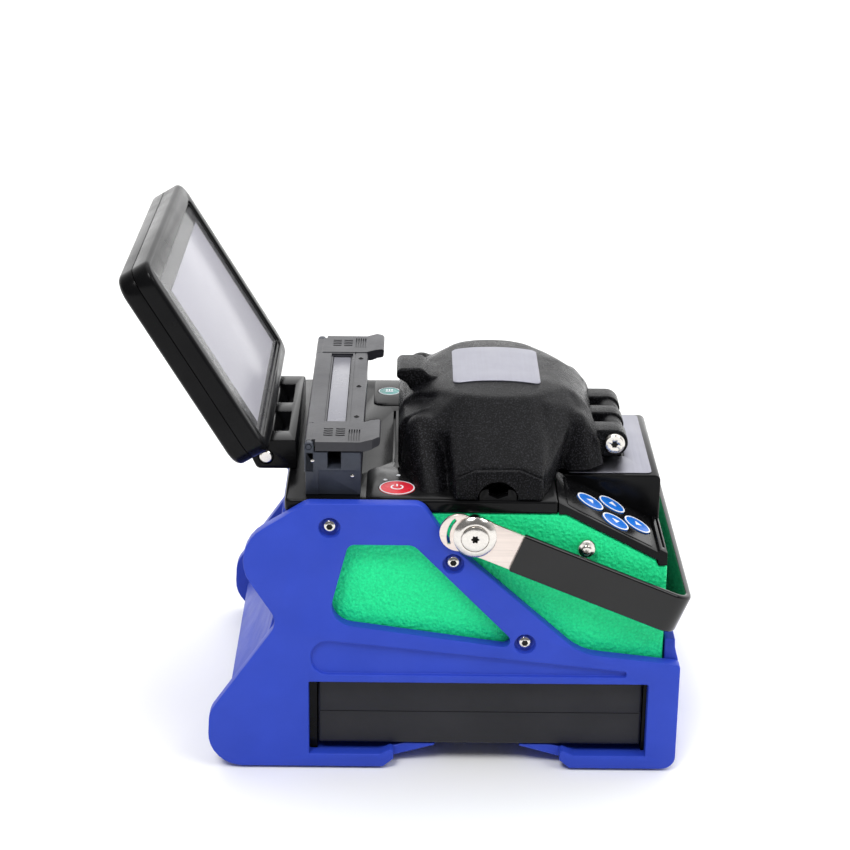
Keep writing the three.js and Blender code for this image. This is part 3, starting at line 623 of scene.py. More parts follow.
def boot_walls():
    half = 63.3
    outside = [(27, 97.8), (25.8, 75, 60), (24, 60, 40), (19.4, 42, 40), (12.4, 26, 30), (5, 14, 8),
               (3.4, 1.2)]
    rear = prism(rounded(outside + [(15.5, 1.2), (29.9, 70), (29.9, 97.8)], 5), -half, half)
    rear = soften(rear, 0.6, 3)
    place(rear, "boot_rear_shell", BLUE, "machine", "boot_blue", "boot_rear_wall")
    front = prism(rounded([(164.5, 50.5, 0.5), (164.5, 1.2), (169.6, 1.2, 0.8), (169.6, 42, 1.5),
                           (168.3, 46.7, 1), (168.1, 50.5, 0.5)]), -half, half)
    place(soften(front, 0.4, 2), "boot_front_shell", BLUE, "machine", "boot_blue", "boot_front_wall")
    rounded_copy("boot_floor", 0.4)
    for k in range(1, 5):
        low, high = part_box(f"rubber_foot_{k}")
        x, y = [((low[i] + high[i]) / 2 - ORIGIN[i]) / MM for i in (0, 1)]
        radius = (high.x - low.x) / MM / 2
        tread = turned([(0, 0.9), (radius, 0.9), (radius, -0.7), (radius - 0.3, -1), (radius * 0.55, -1),
                        (radius * 0.5, -0.6), (0, -0.6)], (x, y, 0), "z", 40)
        place(soften(tread, 0.15, 2), f"foot_pad_{k}", RUBBER, "machine", "rubber_black", f"rubber_foot_{k}")


# ---- case
def case_shells():
    top, under, front = 98.3, 36.3, 163.9
    outline = [(30.3, top), (30.3, under), (front, under), (front, 78.9), (160.2, 78.9), (160.2, 80.9),
               (127.2, top)]
    side = soften(prism(outline, -63, -60), 0.9, 4)
    far = mirror(side)
    place(side, "case_side_near_shell", GREEN, "machine", "case_green", "case_side_near")
    place(far, "case_side_far_shell", GREEN, "machine", "case_green", "case_side_far")
    end = block(front - 3, front, -60.05, 60.05, under, 78.7)
    place(soften(end, 0.3, 2), "case_front_shell", GREEN, "machine", "case_green", "case_front")
    rear = block(30.3, 33.3, -59.7, 59.7, under, top)
    ribs = [block(29.9, 31, -50, 50, z, z + 1.2) for z in range(48, 92, 6)]
    place(soften(cut(rear, *ribs), 0.25, 2), "case_rear_shell", BLACK, "machine", "black_shell", "case_rear")
    rounded_copy("battery_bay", 0.3)


def battery():
    pack = block(39.5, 157.3, -64, 50, 7.4, 33.6)
    seam = block(38, 159, -65, -63.7, 20.35, 20.65)
    pack = soften(cut(soften(pack, 1.1, 4), seam), 0.12, 2)
    place(pack, "battery_case", BATTERY_BLACK, "battery", "black_shell", "battery_pack")


# ---- deck
FIBRE_X = 103
DECK_TOP = 103.3
POWER_SPOT, POWER_RADIUS = (67.5, -52.6), 6.4
HEAT_SPOT, HEAT_RADIUS = (63.6, 48.6), 4.4


def zone(points, low, high, width=0.25):
    """A thin raised field."""
    return soften(prism(points, low, high, "xy"), width, 2)


def ring(x, y, outer, inner, low, high):
    """A flat ring, square to z."""
    return cut(rod(x, y, outer, low, high, "z", 56), rod(x, y, inner, low - 1, high + 1, "z", 56))


def button_holes(low, high):
    """The bores in which the power and heat buttons slide."""
    buttons = ((POWER_SPOT, POWER_RADIUS), (HEAT_SPOT, HEAT_RADIUS))
    return [rod(*spot, radius + 0.25, low, high, "z", 48) for spot, radius in buttons]


def deck():
    top, under, edge, front = DECK_TOP, 98.6, 63.4, DECK_FRONT
    plate = prism(rounded([(28, -edge, 2), (front, -edge), (front, edge), (28, edge, 2)]), under, top, "xy")
    plate = cut(plate, block(80, 121, -34, 34, under - 1, top + 1), *button_holes(under - 1, top + 1))
    guide = rounded([(96.6, 102), (109.6, 102), (109.6, 107.4, 2.5), (96.6, 107.4, 2.5)])
    plate = fuse(soften(plate, 0.9, 3), prism(guide, -62.5, -58.9), prism(guide, 58.9, 62.5))
    groove = [(99.3, 120), (99.8, 105.2), (101.2, 104.6), (FIBRE_X, 103.8), (105.0, 104.6), (106.6, 105.2),
              (107.1, 120)]
    plate = cut(plate, prism(groove, -70, 70), block(65.5, 66.5, -27, 27, 101, 105))
    place(soften(plate, 0.15, 2), "deck_shell", SATIN_BLACK, "machine", "black_shell", "deck_plate")


def key_pads():
    """The raised fields of the deck that hold the power and heat buttons, and two small lamps."""
    top = DECK_TOP
    near = [(56.6, -62.2, 1), (119, -62.2, 1), (119, -36), (76, -36), (73, -32.4), (56.6, -32.4, 6)]
    far = [(57.6, 62, 1), (57.6, 33, 4), (73, 33), (76, 36), (119, 36), (119, 62, 1)]
    near, far = [zone(rounded(field), top - 0.3, top + 0.35) for field in (near, far)]
    for (side, name), pad, hole in zip(SIDES, (near, far), button_holes(top - 1, top + 1)):
        gap = sorted((side * 57.5, side * 63))
        cut(pad, hole, block(FIBRE_X - 7, FIBRE_X + 7, *gap, top - 1, top + 1))
        place(pad, name + "_key_pad", SATIN_BLACK, "machine", "black_shell")
    for k, (x, y) in enumerate(((63.2, -45.2), (67.9, -40.8))):
        profile = [(0.75, top), (0.75, top + 0.45), (0.45, top + 0.6), (0, top + 0.6)]
        lamp = turned(profile, (x, y, 0), "z", 24)
        place(lamp, f"status_lamp_{k + 1}", KEY_WHITE, "machine", "silver_plate")


def power_mark(u, v, radius, low, high):
    """An open ring with a bar through its gap."""
    outer = arc(u, v, radius, 125, 415, 30)
    inner = arc(u, v, radius - 0.55, 415, 125, 30)
    bar = block(u - 0.28, u + 0.28, v + radius * 0.25, v + radius * 1.15, low, high)
    return prism(outer + inner, low, high, "xy"), bar


def round_button(name, node, centre, radius, body, material, top, slot, mark):
    x, y = centre
    under = 99.4
    rim = radius - 0.55
    profile = [(0, under), (radius, under), (radius, top - 0.35), (radius - 0.25, top), (rim, top),
               (rim - 0.05, top - 0.12), (rim - 0.3, top - 0.1), (radius * 0.45, top + 0.12), (0, top + 0.2)]
    cap = turned(profile, (x, y, 0), "z", 64)
    place(cap, name, material, body, slot, node, crease=30)
    band = ring(x, y, radius - 0.1, rim, top - 0.2, top + 0.05)
    place(soften(band, 0.08, 2), name + "_rim", KEY_WHITE, body, slot)
    for k, part in enumerate(mark(x, y, radius * 0.36, top, top + 0.24)):
        place(part, f"{name}_mark_{k + 1}", KEY_WHITE, body, slot)


def heater_mark(u, v, radius, low, high):
    """Three small upward strokes over a bar: a plain sign for heat."""
    spots = (u - 1.0, u, u + 1.0)
    strokes = [block(x - 0.3, x + 0.3, v - radius * 0.2, v + radius, low, high) for x in spots]
    return [*strokes, block(u - 1.5, u + 1.5, v - radius * 0.9, v - radius * 0.5, low, high)]


# ---- keypad and front box
DECK_FRONT = 124.3
WING_DROP, WING_RUN = 20.5, 39.4
WING_SLOPE = math.atan2(WING_DROP, WING_RUN)
KEY_RADIUS = 5.3
# Each arrow key's place on the wing, and the heading of its arrow.
KEYS = {"rear": (136.7, -47.6, 180), "far": (145.3, -39.4, 90), "near": (145.3, -55.2, 270),
        "front": (154, -47.2, 0)}


def wing_height(x):
    return 103.1 - (x - DECK_FRONT) * WING_DROP / WING_RUN


def on_wing(x, y, lift=0.0):
    """A frame whose z axis stands square to the wing at (x, y)."""
    tilt = Matrix.Rotation(WING_SLOPE, 4, "Y")
    return Matrix.Translation((x, y, wing_height(x))) @ tilt @ Matrix.Translation((0, 0, lift))


def key_holes():
    return [moved(rod(0, 0, KEY_RADIUS + 0.25, -8, 8, "z", 48), on_wing(x, y)) for x, y, _ in KEYS.values()]


def keypad_wings():
    start, end = DECK_FRONT + 0.3, 163.7
    section = rounded([
        (start, wing_height(start)), (start, 98.6), (127.3, 98.6), (160.5, 81.2), (160.5, 79.2, 0.3),
        (end, 79.2, 0.3), (end, wing_height(end) + 1.4, 0.4), (end - 3, wing_height(end - 3) + 1.4, 0.4),
        (end - 3, wing_height(end - 3)),
    ])
    wing = prism(section, -63.4, -32.2)
    far = mirror(wing)
    slots = [moved(block(-0.5, 0.5, -13.5, 13.5, -1.2, 3), on_wing(end - 1.6, y, 0.6)) for y in (-46, 46)]
    wing = cut(wing, slots[0], *key_holes())
    far = cut(far, slots[1])
    for (_, name), made in zip(SIDES, (wing, far)):
        node = "keypad_wing_" + name
        place(soften(made, 0.35, 3), f"keypad_{name}_shell", SATIN_BLACK, "machine", "black_shell", node)
    for side, name in SIDES:
        sheet = rounded([(-17.5, -14, 2), (17, -14, 1), (17, 14, 1), (-17.5, 14, 2)])
        sheet = moved(zone(sheet, -0.1, 0.18, 0.1), on_wing(143.2, side * 47.3))
        if side < 0:
            sheet = cut(sheet, *key_holes())
        place(sheet, "keypad_sheet_" + name, SATIN_BLACK, "machine", "black_shell")


def arrow_keys():
    radius = KEY_RADIUS
    for key, (x, y, heading) in KEYS.items():
        spot = on_wing(x, y)
        cap = turned([(0, -2.2), (radius, -2.2), (radius, 0.45), (radius - 0.2, 0.62), (radius - 0.6, 0.62),
                      (radius - 0.7, 0.52), (radius - 1.1, 0.55), (radius * 0.4, 0.72), (0, 0.76)],
                     axis="z", segments=56)
        node, body = "arrow_key_" + key, "key_" + key
        place(moved(cap, spot), node + "_cap", KEY_BLUE, body, "blue_key", node, crease=30)
        band = soften(ring(0, 0, radius - 0.02, radius - 0.62, 0.4, 0.68), 0.06, 2)
        place(moved(band, spot), node + "_rim", KEY_WHITE, body, "silver_plate")
        arrow = prism([(1.7, 0), (-0.9, 1.55), (-0.9, -1.55)], 0.6, 0.86, "xy")
        moved(arrow, spot @ Matrix.Rotation(math.radians(heading), 4, "Z"))
        place(arrow, node + "_arrow", KEY_WHITE, body, "silver_plate")


def front_box_parts():
    end, top, half = 163.7, 101, 31.9
    outline = rounded([(124.9, top), (124.9, 96), (156, 79.2), (end, 79.2, 0.5), (end, top, 2.2)])
    shell = prism(outline, -half, half)
    place(soften(shell, 0.9, 4), "front_box_shell", SATIN_BLACK, "machine", "black_shell", "front_box")
    half = 30.3
    outline = rounded([(130, -half, 1), (160.6, -half, 2), (160.6, half, 2), (130, half, 1)])
    plate = prism(outline, top + 0.02, top + 0.45, "xy")
    plate = cut(plate, block(120, 151.8, -14, 14, 100, 103))
    place(soften(plate, 0.15, 2), "front_plate", PLATE, "machine", "silver_plate", "front_label_plate")


# ---- monitor
MONITOR_PIN = (19.9, 108.1)
MONITOR_FRAME = pin_frame(MONITOR_PIN, -31)
# The monitor's half width, lower edge and upper edge, then its back plane.
MONITOR_FACE = (59, 7.2, 87.2)
MONITOR_BACK = -5.4


def screen_slab(half, low, high, back, front, radius):
    return prism(round_rectangle(-half, half, low, high, radius), back, front, "yz")


def monitor_back():
    shell = soften(screen_slab(*MONITOR_FACE, MONITOR_BACK, 5, 8), 2.4, 5)
    shell = cut(shell, block(0.95, 20, -80, 80, -20, 120))
    knuckle = rounded([(-4.9, -4.9, 4.4), (4.9, -4.9, 4.8), (4.9, 4.2, 1), (2.6, 6.8), (0.8, 6.8), (0.8, 9),
                       (-3.6, 9)])
    arms = [prism(knuckle, a, b) for a, b in ((-24.9, -5.2), (5.2, 24.9))]
    shell = fuse(shell, *arms)
    shell = cut(shell, rod(0, 0, 2.6, -40, 40))
    vents = [block(-7, -4.8, -24 + k * 6, -21 + k * 6, 60, 76) for k in range(9)]
    shell = soften(cut(shell, *vents), 0.2, 2)
    place(moved(shell, MONITOR_FRAME), "monitor_back_shell", BLACK, "monitor", "black_shell", "monitor_back")


def monitor_bezel():
    bezel = soften(screen_slab(*MONITOR_FACE, -3, 7.6, 8), 1.5, 4)
    bezel = cut(bezel, block(-10, 1.2, -80, 80, -20, 120))
    wells = [screen_slab(53.0, 12.0, 79.7, 6.95, 12, 2.4), screen_slab(52.0, 13.0, 78.7, 5.4, 12, 1.8),
             screen_slab(51.2, 13.8, 77.9, -5, 12, 1)]
    bezel = soften(cut(bezel, *wells), 0.2, 2)
    moved(bezel, MONITOR_FRAME)
    place(bezel, "monitor_bezel_shell", BLACK, "monitor", "black_shell", "monitor_bezel")


def monitor_screen():
    """The lit panel, its black border and the glass over both."""
    border = prism(rectangle(-51.1, 51.1, 13.9, 77.8), 5.45, 5.6, "yz")
    border = cut(border, prism(rectangle(-39.5, 51, 14.2, 71.3), 5, 6, "yz"))
    place(moved(border, MONITOR_FRAME), "screen_border", BORDER, "monitor", "black_shell")
    panel = soften(prism(rectangle(-42, 51, 14, 73.3), 2, 5.4, "yz"), 0.2, 2)
    place(moved(panel, MONITOR_FRAME), "screen_panel", SCREEN, "monitor", "screen_lit", "lcd_panel")
    glass = screen_slab(51.3, 13.7, 78.0, 5.8, 6.5, 1.7)
    place(moved(glass, MONITOR_FRAME), "screen_cover", GLASS, "monitor", "cover_glass", "screen_glass")


def monitor_screws():
    backwards = Matrix.Rotation(-math.pi / 2, 4, "Z") @ Matrix.Scale(0.6, 4)
    for k, (y, z) in enumerate(((-50, 15), (50, 15), (-50, 79), (50, 79))):
        spot = Matrix.Translation((MONITOR_BACK - 0.2, y, z))
        screw = moved(button_screw(), MONITOR_FRAME @ spot @ backwards)
        place(screw, f"monitor_screw_{k + 1}", BRIGHT, "monitor", "nickel")


def monitor_hinge():
    outline = rounded([(31, 103.5, 0.5), (31, 114.6, 1), (17.6, 114.6, 4), (14.2, 108.5, 4),
                       (16.6, 103.5, 2)])
    bracket = prism(outline, -35, 35)
    pockets = [block(10, 27.4, y0, y1, 100, 120) for y0, y1 in ((-25.3, -4.8), (4.8, 25.3))]
    bracket = soften(cut(bracket, *pockets, rod(*MONITOR_PIN, 2.6, -40, 40)), 0.5, 3)
    place(bracket, "monitor_bracket_shell", SATIN_BLACK, "machine", "black_shell", "monitor_bracket")
    pin = turned([(0, -35.5), (1.9, -35.5), (2.35, -35.1), (2.35, 35.1), (1.9, 35.5), (0, 35.5)],
                 (MONITOR_PIN[0], 0, MONITOR_PIN[1]), "y", 40)
    place(pin, "monitor_pin", BRIGHT, "machine", "nickel", "monitor_hinge_pin")


# ---- tube heater
HEATER_PIN = (36.4, 121.4)
COVER_UNDER, COVER_TOP, COVER_SPLIT = 119.8, 123, 38.8


def heater():
    section = rounded([(35.3, 103.5, 0.4), (54.7, 103.5, 0.4), (54.7, 119.3, 0.6), (35.3, 119.3, 0.3)])
    base = prism(section, -59.2, 59.2)
    base = cut(base, block(43, 47.8, -70, 70, 113.4, 125))
    base = cut(base, *[block(39.9, 60, y - 0.5, y + 0.5, 100, 112.6) for y in (-59.4, 59.4)])
    place(soften(base, 0.3, 2), "heater_base_shell", HEATER_BLUE, "machine", "heater_grey", "heater_base")
    trough = cut(block(43.1, 47.7, -50, 50, 113.5, 119), block(43.5, 47.3, -60, 60, 114, 122))
    place(trough, "heater_trough_shell", BLACK, "machine", "machined", "heater_trough")
    for side, name in SIDES:
        for k, (x, z) in enumerate(((37.8, 116.3), (51.8, 110.6))):
            rivet = turned([(0.65, 0), (0.6, -0.2), (0.35, -0.38), (0, -0.42)], segments=20)
            moved(rivet, Matrix.Translation((x, side * 59.15, z)) @ facing(side))
            place(rivet, f"heater_rivet_{name}_{k + 1}", BRIGHT, "machine", "nickel")
        y0, y1 = sorted((side * 56.4, side * 59.2))
        lug = prism(rounded([(34.9, 112), (38.2, 112), (38.2, 123, 1.4), (34.9, 123, 1.4)]), y0, y1)
        lug = cut(lug, rod(*HEATER_PIN, 1.1, y0 - 1, y1 + 1))
        place(soften(lug, 0.2, 2), "heater_lug_" + name, HEATER_BLUE, "machine", "heater_grey")


def louvre(x, y, low, high):
    """A cutter for one slightly bent slot."""
    bent = [(x, y + 0.3), (x + 1.6, y), (x + 3.3, y + 0.3), (x + 3.3, y + 1.3), (x + 1.6, y + 1.0),
            (x, y + 1.3)]
    return prism(bent, low, high, "xy")


def heater_lid():
    under, top, split = COVER_UNDER, COVER_TOP, COVER_SPLIT
    section = rounded([(36.4, under), (55.4, under, 0.6), (55.4, top, 1), (36.4, top, 0.6)])
    leaf = prism(section, -split, split)
    leaf = fuse(leaf, rod(*HEATER_PIN, 1.62, -split, split))
    leaf = cut(leaf, block(41.8, 48.9, -36.6, 36.6, under - 1, top + 1),
               block(41.1, 49.5, -37.4, 37.8, top - 0.7, top + 1),
               block(50.2, 50.6, -split - 1, split + 1, top - 0.3, top + 1), rod(*HEATER_PIN, 1.1, -60, 60))
    place(soften(leaf, 0.22, 2), "heater_lid_shell", HEATER_GREY, "heater_cover", "heater_grey", "heater_lid")
    pane = soften(block(42, 48.7, -36.2, 36.2, under + 0.5, top - 1), 0.2, 2)
    place(pane, "heater_pane", PANE, "heater_cover", "window_clear", "heater_lid_window")
    for k, y in enumerate((-32.5, 0, 32)):
        add_screw(f"heater_screw_{k + 1}", (52.6, y, top - 0.35), "heater_cover", BLACK, size=0.42, axis="z")


def heater_clamps():
    under, top, split = COVER_UNDER, COVER_TOP, COVER_SPLIT
    clamp_profile = rounded([(36.6, under), (56.5, under, 2), (59.2, 120.9, 1), (61.3, 121.2, 1),
                             (61.6, 124.6, 1.0), (58.2, 124.2, 2.5), (54.5, top + 0.2, 3),
                             (37.6, top + 0.2, 0.8), (36.6, top - 0.5, 0.6)], 5)
    for side, name in SIDES:
        outer, middle = side * 58.8, side * 51
        low, high = sorted((side * (split + 0.25), outer))
        clamp = fuse(prism(clamp_profile, low, high), rod(*HEATER_PIN, 1.62, low, high))
        lug_room = block(33, 38.7, *sorted((side * 56.1, side * 60)), 110, 126)
        clamp = cut(clamp, lug_room, rod(*HEATER_PIN, 1.1, -62, 62))
        louvres = [louvre(41.3 + k * 4.3, middle - side * 1.5 + (j - 1.5) * 2.1, top - 1.5, top + 2)
                   for k in range(2) for j in range(4)]
        ribs = [block(50.2 + 0.9 * k, 50.65 + 0.9 * k, middle - 6.5, middle + 5, top - 0.5, top + 3)
                for k in range(5)]
        spot = Matrix.Translation((62.3, outer + side * 0.6, 0))
        corner = moved(block(-3, 3, -3, 3, 110, 130), spot @ Matrix.Rotation(math.radians(45), 4, "Z"))
        clamp = soften(cut(clamp, *louvres, *ribs, corner), 0.28, 2)
        node = "heater_clamp_" + name
        place(clamp, node + "_shell", HEATER_GREY, "heater_cover", "heater_grey", node)


# ---- wind hood
HOOD_PIN = (147, 110)


def ball(x, y, z, radius, count=14):
    """Points on a ball, for a hull."""
    points = []
    for i in range(count):
        polar = math.pi * (i + 0.5) / count
        for u, v in polygon(radius * math.sin(polar), count * 2):
            points.append((x + u, y + v, z + radius * math.cos(polar)))
    return points


def disc(x, y, z, rx, ry, count=32):
    """Points round an ellipse, for a hull."""
    return [(x + rx * u, y + ry * v, z) for u, v in polygon(1, count)]


HOOD_FLOOR, HOOD_RIM = 99.0, 103.7
HOOD_CROWN = [(67.6, HOOD_FLOOR), (67.6, 119.0), (69.6, 123.2), (73.4, 126.2), (78.4, 128.6), (84, 130.4),
              (90, 131.7), (97, 132.5), (104, 132.7), (111, 132.4), (117.5, 131.7), (123, 130.6),
              (128, 129.2), (132.6, 126.7), (136.4, 122.9), (139.2, 117.6), (141.3, 111), (142.6, HOOD_FLOOR)]

# The line where the top turns down into the prow, on one side: x, distance from the middle, height.
BROW = [(83.6, 21.5, 129.6), (87, 27, 130.6), (91.5, 30.4, 131.1), (97, 32.2, 131.2), (103.2, 32.8, 131.2),
        (109.5, 32.2, 131.1), (115.4, 30.2, 130.7), (120.4, 25.8, 130.1), (124.4, 20.2, 129.4)]


def hood_bulk():
    """The hood as solids to be melted together: an arched back, a sloping prow, and a rib on each corner."""
    low = HOOD_FLOOR
    parts = [prism(HOOD_CROWN, -15.5, 15.5)]
    shoulder = [(67.6, low), (67.6, 117.5), (69.8, 121.4), (76, 124.6), (84, 127.2), (91, 128), (91, low)]
    parts.append(hull([(x, y, z) for y in (-29, 29) for x, z in shoulder]))
    flank = [(87.4, low), (87.4, 111.9), (95, 115.3), (110.4, 115.5), (119, 111.9), (119, low)]
    prow = [(x, y, z) for y in (-62.3, 62.3) for x, z in flank]
    prow += [(x, side * y, z) for side in (-1, 1) for x, y, z in BROW]
    prow += [(x, y, low) for y in (-31, 31) for x in (84, 121)]
    parts.append(hull(prow))
    neck = [(x, y, z) for y in (-15, 15) for x, z in HOOD_CROWN[3:14]]
    neck += [(x, side * y, z) for side in (-1, 1) for x, y, z in BROW]
    neck += [(x, y, low) for y in (-15, 15) for x in (84, 130)]
    parts.append(hull(neck))
    valley = [(119, 60, low), (119, 60, 110.5), (123.4, 38, low), (125.5, 33, low), (125.8, 31.5, 120.5),
              (122.5, 41, 119.5), (122, 30, 128.2), (128.5, 15.5, 129.0), (132.5, 24, 123.5),
              (110, 31, low), (110, 31, 128)]
    ridge = [(127, 15, 129.2), (133, 15, 126.2), (138, 15, 121.4), (139.2, 23, 118.0), (141.2, 28, 112),
             (130, 28.5, 122.6), (134.5, 28, 120.2), (142, 28, low), (125, 15, low), (125, 28, low)]
    saddle = [(84, 21, 129.6), (90, 30, 130.8), (71, 29, 121), (72, 35, 118.4), (78, 37, 122),
              (84, 40, 120.5), (89, 44, 120), (70.5, 29, low), (73, 37, low), (89, 46, low), (84, 20, low)]
    heel = [(142.9, 26, low), (142.7, 27.5, 105), (141.6, 26, 112), (139.6, 21, 118), (137.5, 15.5, 121.4),
            (142.9, 10, low), (124.4, 12, low)]
    for side in (-1, 1):
        for lump in (valley, ridge, saddle):
            parts.append(hull([(x, side * y, z) for x, y, z in lump]))
        rear_feet = disc(80.8, side * 54, low, 6.0, 8.3) + disc(77.2, side * 33, low, 9.4, 9)
        parts.append(hull(ball(76.2, side * 34.3, 118.9, 6.0) + rear_feet))
        front_foot = disc(133.0, side * 26.4, low, 9.0, 9.2) + [(x, side * y, z) for x, y, z in heel]
        parts.append(hull(ball(131.0, side * 24.5, 117.2, 6.5) + front_foot))
    return parts


def fibre_arch():
    """A cutter for the arches over the fiber, through both flanks of the hood."""
    return rod(FIBRE_X, HOOD_RIM, 7.3, -70, 70, "y", 56)


def hood_skin():
    """The hood's solids melted into one skin, which is eased most over the crown."""
    work = bmesh.new()
    for part in hood_bulk():
        work.from_mesh(part.data)
        bpy.data.objects.remove(part)
    mesh = bpy.data.meshes.new("scratch")
    work.to_mesh(mesh)
    work.free()
    shell = add_object("scratch", mesh)
    remesh = shell.modifiers.new("union", "REMESH")
    remesh.mode = "VOXEL"
    remesh.voxel_size = 0.58
    smooth = shell.modifiers.new("smooth", "SMOOTH")
    smooth.iterations = 20
    smooth.factor = 0.5
    bake(shell)
    upper = shell.vertex_groups.new(name="upper")
    for vertex in shell.data.vertices:
        x, y, z = vertex.co
        weight = min(1, max(0, (z - 122) / 4)) * min(1, max(0, (x - 77) / 6))
        upper.add([vertex.index], weight, "REPLACE")
    ease = shell.modifiers.new("ease", "SMOOTH")
    ease.iterations = 30
    ease.factor = 0.5
    ease.vertex_group = "upper"
    thin = shell.modifiers.new("thin", "DECIMATE")
    thin.ratio = 0.35
    return bake(shell)


def hood():
    shell = cut(hood_skin(), block(40, 180, -90, 90, 60, HOOD_RIM))
    work = bmesh.new()
    work.from_mesh(shell.data)
    floor = [face for face in work.faces if all(abs(v.co.z - HOOD_RIM) < 1e-3 for v in face.verts)]
    bmesh.ops.delete(work, geom=floor, context="FACES")
    work.to_mesh(shell.data)
    work.free()
    wall = shell.modifiers.new("wall", "SOLIDIFY")
    wall.thickness = 2.4
    wall.offset = -1
    wall.use_even_offset = False
    bake(shell)
    hood_label(shell)
    shell = cut(shell, fibre_arch())
    place(shell, "hood_shell", HOOD_PAINT, "hood", "hood_black", "wind_hood", crease=60)


def hood_trim():
    """The raised field over each arch, and the finger tab at the rear."""
    low = HOOD_RIM + 0.1
    for side, name in SIDES:
        brow = prism([(87.9, low), (87.9, 111.3), (95.2, 114.8), (110.2, 115.0), (118.6, 111.3),
                      (118.6, low)], *sorted((side * 60.2, side * 63.7)))
        middle = prism([(95.4, low), (95.4, 114.75), (110.0, 114.95), (110.0, low)],
                       *sorted((side * 62, side * 64.3)))
        brow = cut(fuse(soften(brow, 0.8, 4), soften(middle, 0.5, 3)), fibre_arch())
        place(brow, "hood_brow_" + name, HOOD_PAINT, "hood", "hood_black")
    tab = prism(rounded([(66.8, 133.0, 2.2), (66.8, 129.4, 1.2), (70.2, 127.4, 1.5), (73.4, 122.6),
                         (78, 121.5), (84, 123), (84, 129.4), (79.0, 130.4, 4), (76.2, 133.2, 3.5)], 6),
                -8.6, 8.6)
    tab = soften(tab, 1.5, 5, 50)
    place(tab, "hood_tab", HOOD_PAINT, "hood", "hood_black")


def hood_knuckles():
    x, z = HOOD_PIN
    radius = 5.1
    for k, (y0, y1) in enumerate(((-23, -13.3), (-4.2, 4.2), (13.3, 23))):
        web = prism([(136, z - radius), (x, z - radius), (x, z + radius), (136, z + radius)], y0, y1)
        claw = fuse(rod(x, z, radius, y0, y1, "y", 48), web)
        claw = cut(claw, rod(x, z, 2.15, y0 - 1, y1 + 1))
        place(soften(claw, 0.7, 3), f"hood_knuckle_{k + 1}", HOOD_PAINT, "hood", "hood_black")


def lay_on(plate, shell, top, lift):
    """Drops a flat plate's points onto the skin below them, with the plate's lower face lifted off it."""
    work = bmesh.new()
    work.from_mesh(shell.data)
    skin = BVHTree.FromBMesh(work)
    work.free()
    base = min(v.co.z for v in plate.data.vertices)
    for vertex in plate.data.vertices:
        hit = skin.ray_cast(Vector((vertex.co.x, vertex.co.y, top)), Vector((0, 0, -1)))[0]
        if hit:
            vertex.co.z += hit.z + lift - base


def hood_label(shell):
    """The blank plate on the crown, bent to the crown's curve."""
    plate = soften(prism(round_rectangle(87.5, 119.6, -18.9, 18.9, 2.6), 0, 0.55, "xy"), 0.18, 2)
    work = bmesh.new()
    work.from_mesh(plate.data)
    lines = [((x, 0, 0), (1, 0, 0)) for x in range(89, 119, 2)]
    lines += [((0, y, 0), (0, 1, 0)) for y in range(-18, 19, 3)]
    for spot, across in lines:
        parts = work.verts[:] + work.edges[:] + work.faces[:]
        bmesh.ops.bisect_plane(work, geom=parts, plane_co=spot, plane_no=across)
    work.to_mesh(plate.data)
    work.free()
    lay_on(plate, shell, 150, -0.12)
    place(plate, "hood_plate", PLATE, "hood", "silver_plate", "hood_label_plate", crease=50)


def hood_fittings():
    x, z = HOOD_PIN
    base = block(143.4, 150.8, -13, 13, 101.3, 103.8)
    ears = [fuse(rod(x, z, 4.4, y0, y1, "y", 40), block(x - 3.4, x + 4.2, y0, y1, 103, z))
            for y0, y1 in ((-12.9, -4.6), (4.6, 12.9))]
    base = cut(fuse(base, *ears), rod(x, z, 2.15, -40, 40))
    place(soften(base, 0.35, 2), "hood_bracket_shell", HOOD_PAINT, "machine", "hood_black", "hood_bracket")
    for side, name in SIDES:
        seat = Matrix.Translation((x, side * 23.0, z)) @ facing(side)
        # A dark plug on the floor of the star socket: painted shade in the recess.
        socket = moved(prism(star_outline(1.28), -0.5, -0.14), seat)
        place(socket, "hood_socket_" + name, SOCKET_SHADE, "machine", "nickel")
        place(moved(flat_screw(3.9, 1.3, 1.35), seat), "hood_screw_" + name, BRIGHT, "machine", "nickel")
    pin = rod(x, z, 1.9, -23, 23, "y", 32)
    place(pin, "hood_pin", BRIGHT, "machine", "nickel", "hood_hinge_pin")


# ---- splicing stage
def stage():
    for node in ("electrode_rear", "electrode_front", "v_groove_block", "splice_chassis"):
        rounded_copy(node, 0.2)
    for node in ("fiber_holder_near", "fiber_holder_far", "fiber_clamp_lid_near", "fiber_clamp_lid_far",
                 "battery_terminals", "main_board"):
        rounded_copy(node, 0.18)
    top = 101.7
    profile = [(2.1, top), (2.1, 104.2), (1.7, 104.6), (1.5, 104.6), (1.4, 104.0), (0, 104.2)]
    for side, name in SIDES:
        lens = turned(profile, (FIBRE_X + 9.4 * side, side * 7.2, 0), "z", 36)
        place(lens, "lens_" + name, BLACK, "machine", "black_shell")
        for k, (x, y) in enumerate(((85.5, 30), (116, 30), (85.5, 12), (118, 12))):
            add_screw(f"stage_screw_{name}_{k + 1}", (x, side * y, top), size=0.55, axis="z")


# ---- carrying handle
HANDLE_FRAME = pin_frame(HANDLE_PIVOT, 22.5)


